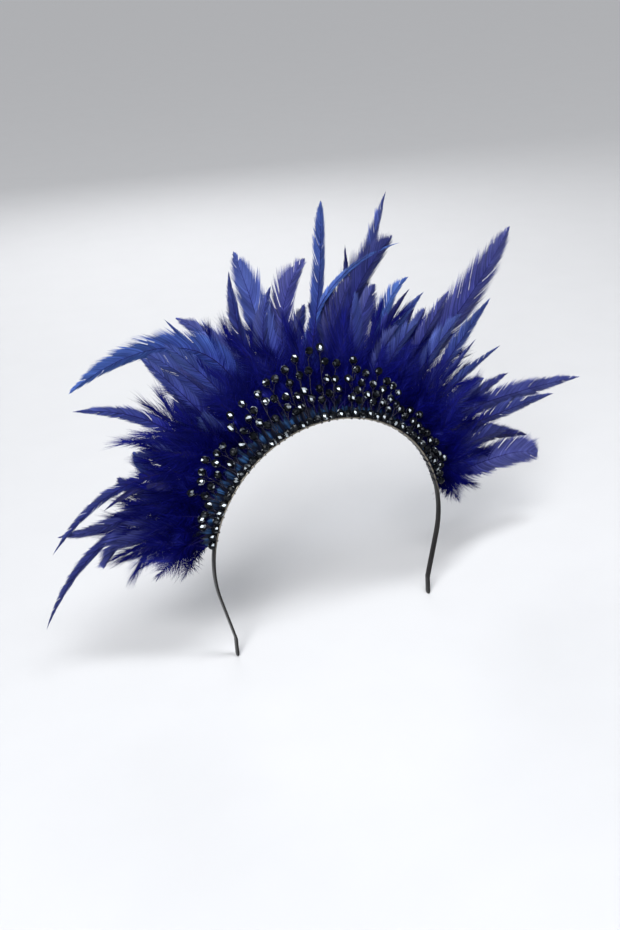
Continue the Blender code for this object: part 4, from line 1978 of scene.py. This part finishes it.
        loose_odds, blade_odds = habit.parting
        odds = loose_odds * looser + blade_odds * zones.blade
        parted = clump_edge & (draw.uniform(0, 1, count) < odds)
        opening = np.where(parted, draw.integers(1, per - 1, count), per)[1:]
        step = np.arange(per - 2)[None, :]
        row = np.arange(count - 1)[:, None] * per
        quads = np.stack([row + step, row + step + 1, row + per + step + 1, row + per + step], -1)
        quads = quads[step < opening[:, None]]
        shut = row[opening == per, 0] + per - 2
        teeth = np.stack([shut, shut + 1, shut + per], -1)
        if sign < 0:
            quads, teeth = quads[:, ::-1], teeth[:, ::-1]
        grain = np.repeat(along / MM, per)
        soup.add(points, quads, teeth, finish=1, tone=np.clip(tone, 0, 1).ravel(),
                 shade=shade.ravel(), hue=feather.hue, grain=grain)

    def add(self, soup: Soup, feather: Feather, draw: np.random.Generator) -> None:
        """Add one feather.

        Args:
            soup: where it goes.
            feather: its plan.
            draw: the random source.
        """
        quill = self.quill(feather, draw)
        tube = quill.line[::2]
        sides = 4
        left, power = self.quill_taper
        thin = np.linspace(1, left, len(tube)) ** power
        tone = 0.2 + 0.6 * np.linspace(0, 1, len(tube))
        add_tube(soup, tube, self.quill_radius * thin, sides, tone=np.repeat(tone, sides), shade=0.5,
                 hue=feather.hue, quill=1.0)
        for sign in (-1, 1):
            self.add_vane(soup, feather, quill, sign, draw)
            self.add_loose(soup, feather, quill, sign, draw)


class Layer(Enum):
    """A layer of the trim's short feathers, from the front to the back."""

    FRONT = "front"
    MIDDLE = "middle"
    BACK = "back"


class LayerPlan(NamedTuple):
    """How a layer of short feathers is set: count, depth, heights and two seeds."""

    count: int
    depth: float
    low: float
    high: float
    plan_seed: int
    barb_seed: int


LAYERS = {
    Layer.FRONT: LayerPlan(38, 6.4 * MM, 31 * MM, 45 * MM, 51, 71),
    Layer.MIDDLE: LayerPlan(42, 9.0 * MM, 44 * MM, 60 * MM, 52, 72),
    Layer.BACK: LayerPlan(42, 12.0 * MM, 50 * MM, 68 * MM, 53, 73),
}


# How tall the down stands by angle round the crown, as a share of a layer's height.
DOWN_RISE = ((-80, 0.85), (-57, 0.80), (-50, 0.90), (-43, 0.84), (-38, 0.78), (-32, 1.0),
             (-6, 1.02), (-1.5, 0.88), (3, 1.0), (22, 1.05), (29, 0.94), (35, 0.90), (41, 1.04),
             (49, 0.98), (54, 0.96), (60, 1.04), (75, 0.92), (82, 0.70))


@dataclass(frozen=True)
class Scatter:
    """How much feathers set by rule differ: angles in degrees, depth in mm, light as a middle
    and a spread. For tufts the depth is that of the height of their feet.
    """

    root: float
    tip: float
    hue: float
    light: tuple
    depth: float
    roll: float


@dataclass(frozen=True)
class FeatherTrim:
    """The whole trim of dyed feathers behind the tape. Angles are in degrees.

    Short feathers and tufts are set by rule and scattered, each within its end angle and with
    tips that fan out past their feet. Depths and rises given as a range are in mm. The down is a
    little lighter and the tufts lie lower on the right, and tufts lie lower at both ends too.
    The depths of a tuft are those of its foot, of its quill and of what its down keeps behind.
    """

    maker: FeatherMaker
    short: Scatter = Scatter(root=1.5, tip=4.0, hue=0.6, light=(-0.7, 0.5), depth=0.8, roll=22)
    short_width: float = 12 * MM
    short_bow: tuple = (1.0, 1.8)
    short_arc: float = 2.5
    end_angle: float = 80.0
    fan_out: float = 1.07
    end_tips: tuple = (-84.5, 91.0)
    downy_share: float = 0.78
    downy_from: float = 60.0
    vaned_taller: float = 1.12
    right_light: float = 0.5
    right_from: float = 25.0
    long_depth: tuple = (7, 12)
    long_roll: float = 16
    long_light: tuple = (0.6, 0.3)
    long_seed: int = 61
    tuft: Scatter = Scatter(root=0.6, tip=5, hue=0.4, light=(0, 0.5), depth=1.0, roll=25)
    tufts: int = 64
    tuft_end: float = 79.5
    tuft_fan: float = 1.06
    tuft_rise: tuple = (11, 18)
    tuft_width: float = 5 * MM
    tuft_foot: float = 6.0 * MM
    tuft_depth: tuple = (2.3 * MM, 3.0 * MM, 1.6 * MM)
    end_drop: float = 3.5 * MM
    right_drop: float = 2.0 * MM
    right_turn: float = 10.0
    tuft_bow: float = 1.2
    tuft_seeds: tuple = (54, 71)

    def long_feathers(self, side: Side) -> list:
        """Plans of the long feathers on one half.

        Args:
            side: the half.

        Returns:
            The plans.
        """
        draw = np.random.default_rng(self.long_seed)
        spread, share = self.long_light
        plans = []
        for row in LONG_FEATHERS:
            depth = draw.uniform(*self.long_depth) * MM
            roll, light = draw.normal(0, self.long_roll), draw.normal(0, spread)
            if (row.root < 0) == (side is Side.LEFT):
                plans.append(Feather(root=row.root, tip=row.tip, height=row.height * MM,
                                     width=row.width * MM, bow=row.bow, cut=row.cut, arc=row.arc,
                                     hue=row.hue, light=row.light + share * light, depth=depth,
                                     roll=roll))
        return plans

    def short_feathers(self, plan: LayerPlan) -> list:
        """Plans of one layer of short feathers.

        Args:
            plan: how the layer is set.

        Returns:
            The plans.
        """
        draw = np.random.default_rng(plan.plan_seed)
        differ = self.short
        plans = []
        for i in range(plan.count):
            root = self.end_angle * (2 * (i + 0.5) / plan.count - 1) + draw.normal(0, differ.root)
            tip = np.clip(root * self.fan_out + draw.normal(0, differ.tip), *self.end_tips)
            height = draw.uniform(plan.low, plan.high) * np.interp(root, *np.transpose(DOWN_RISE))
            downy = draw.uniform() < self.downy_share or abs(root) > self.downy_from
            plans.append(Feather(
                root=root, tip=tip, height=height if downy else height * self.vaned_taller,
                width=self.short_width, bow=draw.uniform(*self.short_bow),
                cut=Cut.DOWNY if downy else Cut.BROAD, arc=draw.normal(0, self.short_arc),
                hue=draw.uniform(0, differ.hue),
                light=draw.normal(*differ.light) + self.right_light * ease(root, 0, self.right_from),
                depth=plan.depth + draw.normal(0, differ.depth) * MM,
                roll=draw.normal(0, differ.roll)))
        return plans

    def small_tufts(self) -> list:
        """Plans of the tufts of down that fall over the tape's upper edge.

        Returns:
            The plans.
        """
        draw = np.random.default_rng(self.tuft_seeds[0])
        differ = self.tuft
        foot_depth, depth, front = self.tuft_depth
        plans = []
        for i in range(self.tufts):
            root = self.tuft_end * (2 * (i + 0.5) / self.tufts - 1) + draw.normal(0, differ.root)
            low = self.end_drop * abs(root / self.end_angle) ** 6
            low = low + self.right_drop * ease(root, -self.right_turn, self.right_turn)
            foot = self.tuft_foot + draw.normal(0, differ.depth) * MM - low
            plans.append(Feather(
                root=root, tip=root * self.tuft_fan + draw.normal(0, differ.tip),
                height=foot + draw.uniform(*self.tuft_rise) * MM, width=self.tuft_width,
                bow=self.tuft_bow, cut=Cut.TUFT, hue=draw.uniform(0, differ.hue),
                light=draw.normal(*differ.light), depth=depth, roll=draw.normal(0, differ.roll),
                foot_height=foot, foot_depth=foot_depth, front=front))
        return plans

    def build_piece(self, name: str, plans: list, seed: int, finishes: list) -> bpy.types.Object:
        """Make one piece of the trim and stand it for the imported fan.

        Args:
            name: the piece's name.
            plans: its feathers.
            seed: seed of the random source.
            finishes: materials of the down and of the vanes.

        Returns:
            The piece.
        """
        draw = np.random.default_rng(seed)
        soup = Soup("tone", "shade", "hue", "quill", "grain")
        for plan in plans:
            self.maker.add(soup, plan, draw)
        piece = soup.to_object(name, finishes, smooth=True)
        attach(piece, BODY)
        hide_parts("feather_fan")
        return piece

    def build(self, finishes: list) -> list:
        """Make every piece of the trim.

        Args:
            finishes: materials of the down and of the vanes.

        Returns:
            The pieces.
        """
        made = [self.build_piece("down_tufts", self.small_tufts(), self.tuft_seeds[1], finishes)]
        for layer, plan in LAYERS.items():
            made.append(self.build_piece(f"short_feathers_{layer.value}",
                                         self.short_feathers(plan), plan.barb_seed, finishes))
        for side, seed in LONG_SEEDS.items():
            made.append(self.build_piece(f"long_feathers_{side.value}",
                                         self.long_feathers(side), seed, finishes))
        return made


class Lamp(NamedTuple):
    """A soft square lamp that faces the crown: name, place, watts, side and colour."""

    name: str
    place: tuple
    power: float
    size: float
    colour: tuple


LAMPS = (
    Lamp("window", (-0.75, -0.95, 0.55), 11.0, 0.40, (0.95, 0.975, 1.0)),
    Lamp("top", (0.10, -0.25, 0.95), 8.0, 0.28, (0.98, 0.99, 1.0)),
    Lamp("back", (0.30, 1.05, 0.55), 5.0, 0.60, (1.0, 1.0, 1.0)),
)


@dataclass(frozen=True)
class Studio:
    """Plain floor, soft lights and the camera at the photograph's angle. Angles are in degrees."""

    floor_z: float
    floor_reach: float = 30.0
    floor_cells: int = 8
    aim: tuple = (-3.75 * MM, 12.6 * MM, -29.3 * MM)
    azimuth: float = -25.82
    elevation: float = 23.96
    roll: float = -3.86
    distance: float = 681 * MM
    lens: float = 48.04
    nearest: float = 0.02
    key_from: tuple = (-0.55, -0.70, 0.95)
    key_power: float = 2.7
    key_spread: float = 26.0
    key_colour: tuple = (1.0, 0.99, 0.975)
    sky: tuple = (0.84, 0.87, 0.93)
    sky_power: float = 0.30

    def build_floor(self, material: bpy.types.Material) -> None:
        """Make the floor and mark it as stage.

        Args:
            material: the paper.
        """
        soup = Soup()
        line = self.floor_cells + 1
        grid = np.linspace(-self.floor_reach, self.floor_reach, line)
        x, y = np.meshgrid(grid, grid, indexing="ij")
        corners = [i * line + j for i in range(self.floor_cells) for j in range(self.floor_cells)]
        quads = [(k, k + line, k + line + 1, k + 1) for k in corners]
        soup.add(np.stack([x, y, 0 * x + self.floor_z], axis=-1), np.array(quads))
        soup.to_object("studio_floor", [material], smooth=False)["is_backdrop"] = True

    def add_light(self, data: bpy.types.Light, direction: Vector, place: tuple) -> None:
        """Stand a light in the scene.

        Args:
            data: the light.
            direction: where it shines from.
            place: where it stands.
        """
        light = bpy.data.objects.new(data.name, data)
        light.location = place
        light.rotation_mode = "QUATERNION"
        light.rotation_quaternion = direction.to_track_quat("Z", "Y")
        bpy.context.scene.collection.objects.link(light)

    def build_lights(self) -> None:
        """Set up the key light, the lamps and the even light from all round."""
        key = bpy.data.lights.new("key", "SUN")
        key.energy = self.key_power
        key.angle = radians(self.key_spread)
        key.color = self.key_colour
        self.add_light(key, Vector(self.key_from), (0, 0, 0))
        for lamp in LAMPS:
            data = bpy.data.lights.new(lamp.name, "AREA")
            data.energy = lamp.power
            data.size = lamp.size
            data.color = lamp.colour
            self.add_light(data, Vector(lamp.place) - Vector(self.aim), lamp.place)
        world = bpy.data.worlds.new("studio")
        world.use_nodes = True
        backdrop = world.node_tree.nodes["Background"]
        backdrop.inputs["Color"].default_value = (*self.sky, 1.0)
        backdrop.inputs["Strength"].default_value = self.sky_power
        bpy.context.scene.world = world

    def build_camera(self) -> None:
        """Make the camera and set it as the scene's."""
        turn, rise, roll = radians(self.azimuth), radians(self.elevation), radians(self.roll)
        back = Vector((sin(turn) * cos(rise), -cos(turn) * cos(rise), sin(rise)))
        right = Vector((cos(turn), sin(turn), 0))
        up = back.cross(right)
        tilted_right = right * cos(roll) + up * sin(roll)
        tilted_up = up * cos(roll) - right * sin(roll)
        data = bpy.data.cameras.new("camera")
        data.lens = self.lens
        data.sensor_width = 36.0
        data.clip_start = self.nearest
        camera = bpy.data.objects.new("camera", data)
        place = Matrix.Translation(Vector(self.aim) + back * self.distance)
        camera.matrix_world = place @ Matrix((tilted_right, tilted_up, back)).transposed().to_4x4()
        bpy.context.scene.collection.objects.link(camera)
        bpy.context.scene.camera = camera

    def build(self, paper: bpy.types.Material) -> None:
        """Set up the whole studio.

        Args:
            paper: material of the floor.
        """
        self.build_camera()
        self.build_floor(paper)
        self.build_lights()
        bpy.context.scene.view_settings.view_transform = "Standard"


def report_triangles(pieces: list) -> None:
    """Log how many triangles each piece has, and all of them together.

    Args:
        pieces: the pieces.
    """
    total = 0
    for piece in pieces:
        triangles = sum(len(face.vertices) - 2 for face in piece.data.polygons)
        total += triangles
        LOG.info("%s: %d triangles", piece.name, triangles)
    LOG.info("all pieces: %d triangles", total)


def main() -> None:
    """Build the crown piece by piece, then the studio, and note the sizes."""
    logging.basicConfig(level=logging.INFO, format="%(message)s")
    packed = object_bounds()
    arch = Arch.from_frame()
    steel = GunmetalSteel().make()
    crystal = HematiteCrystal().make()
    wire = CraftWire().make()
    satin = BlueSatin().make()
    plume = [DyedDown().make(), DyedVane().make()]

    pieces = [Headband(arch).build(steel), BeadRow(arch).build(crystal)]
    for side in Side:
        pieces += BeadSprays(arch, side).build(wire, crystal)
    pieces.append(BindingWire(arch).build(wire))
    pieces.append(SatinTape(arch).build(satin))
    pieces += FeatherTrim(FeatherMaker(arch)).build(plume)
    report_triangles(pieces)

    Studio(floor_z=packed[0].z).build(StudioPaper().make())


if __name__ == "__main__":
    main()
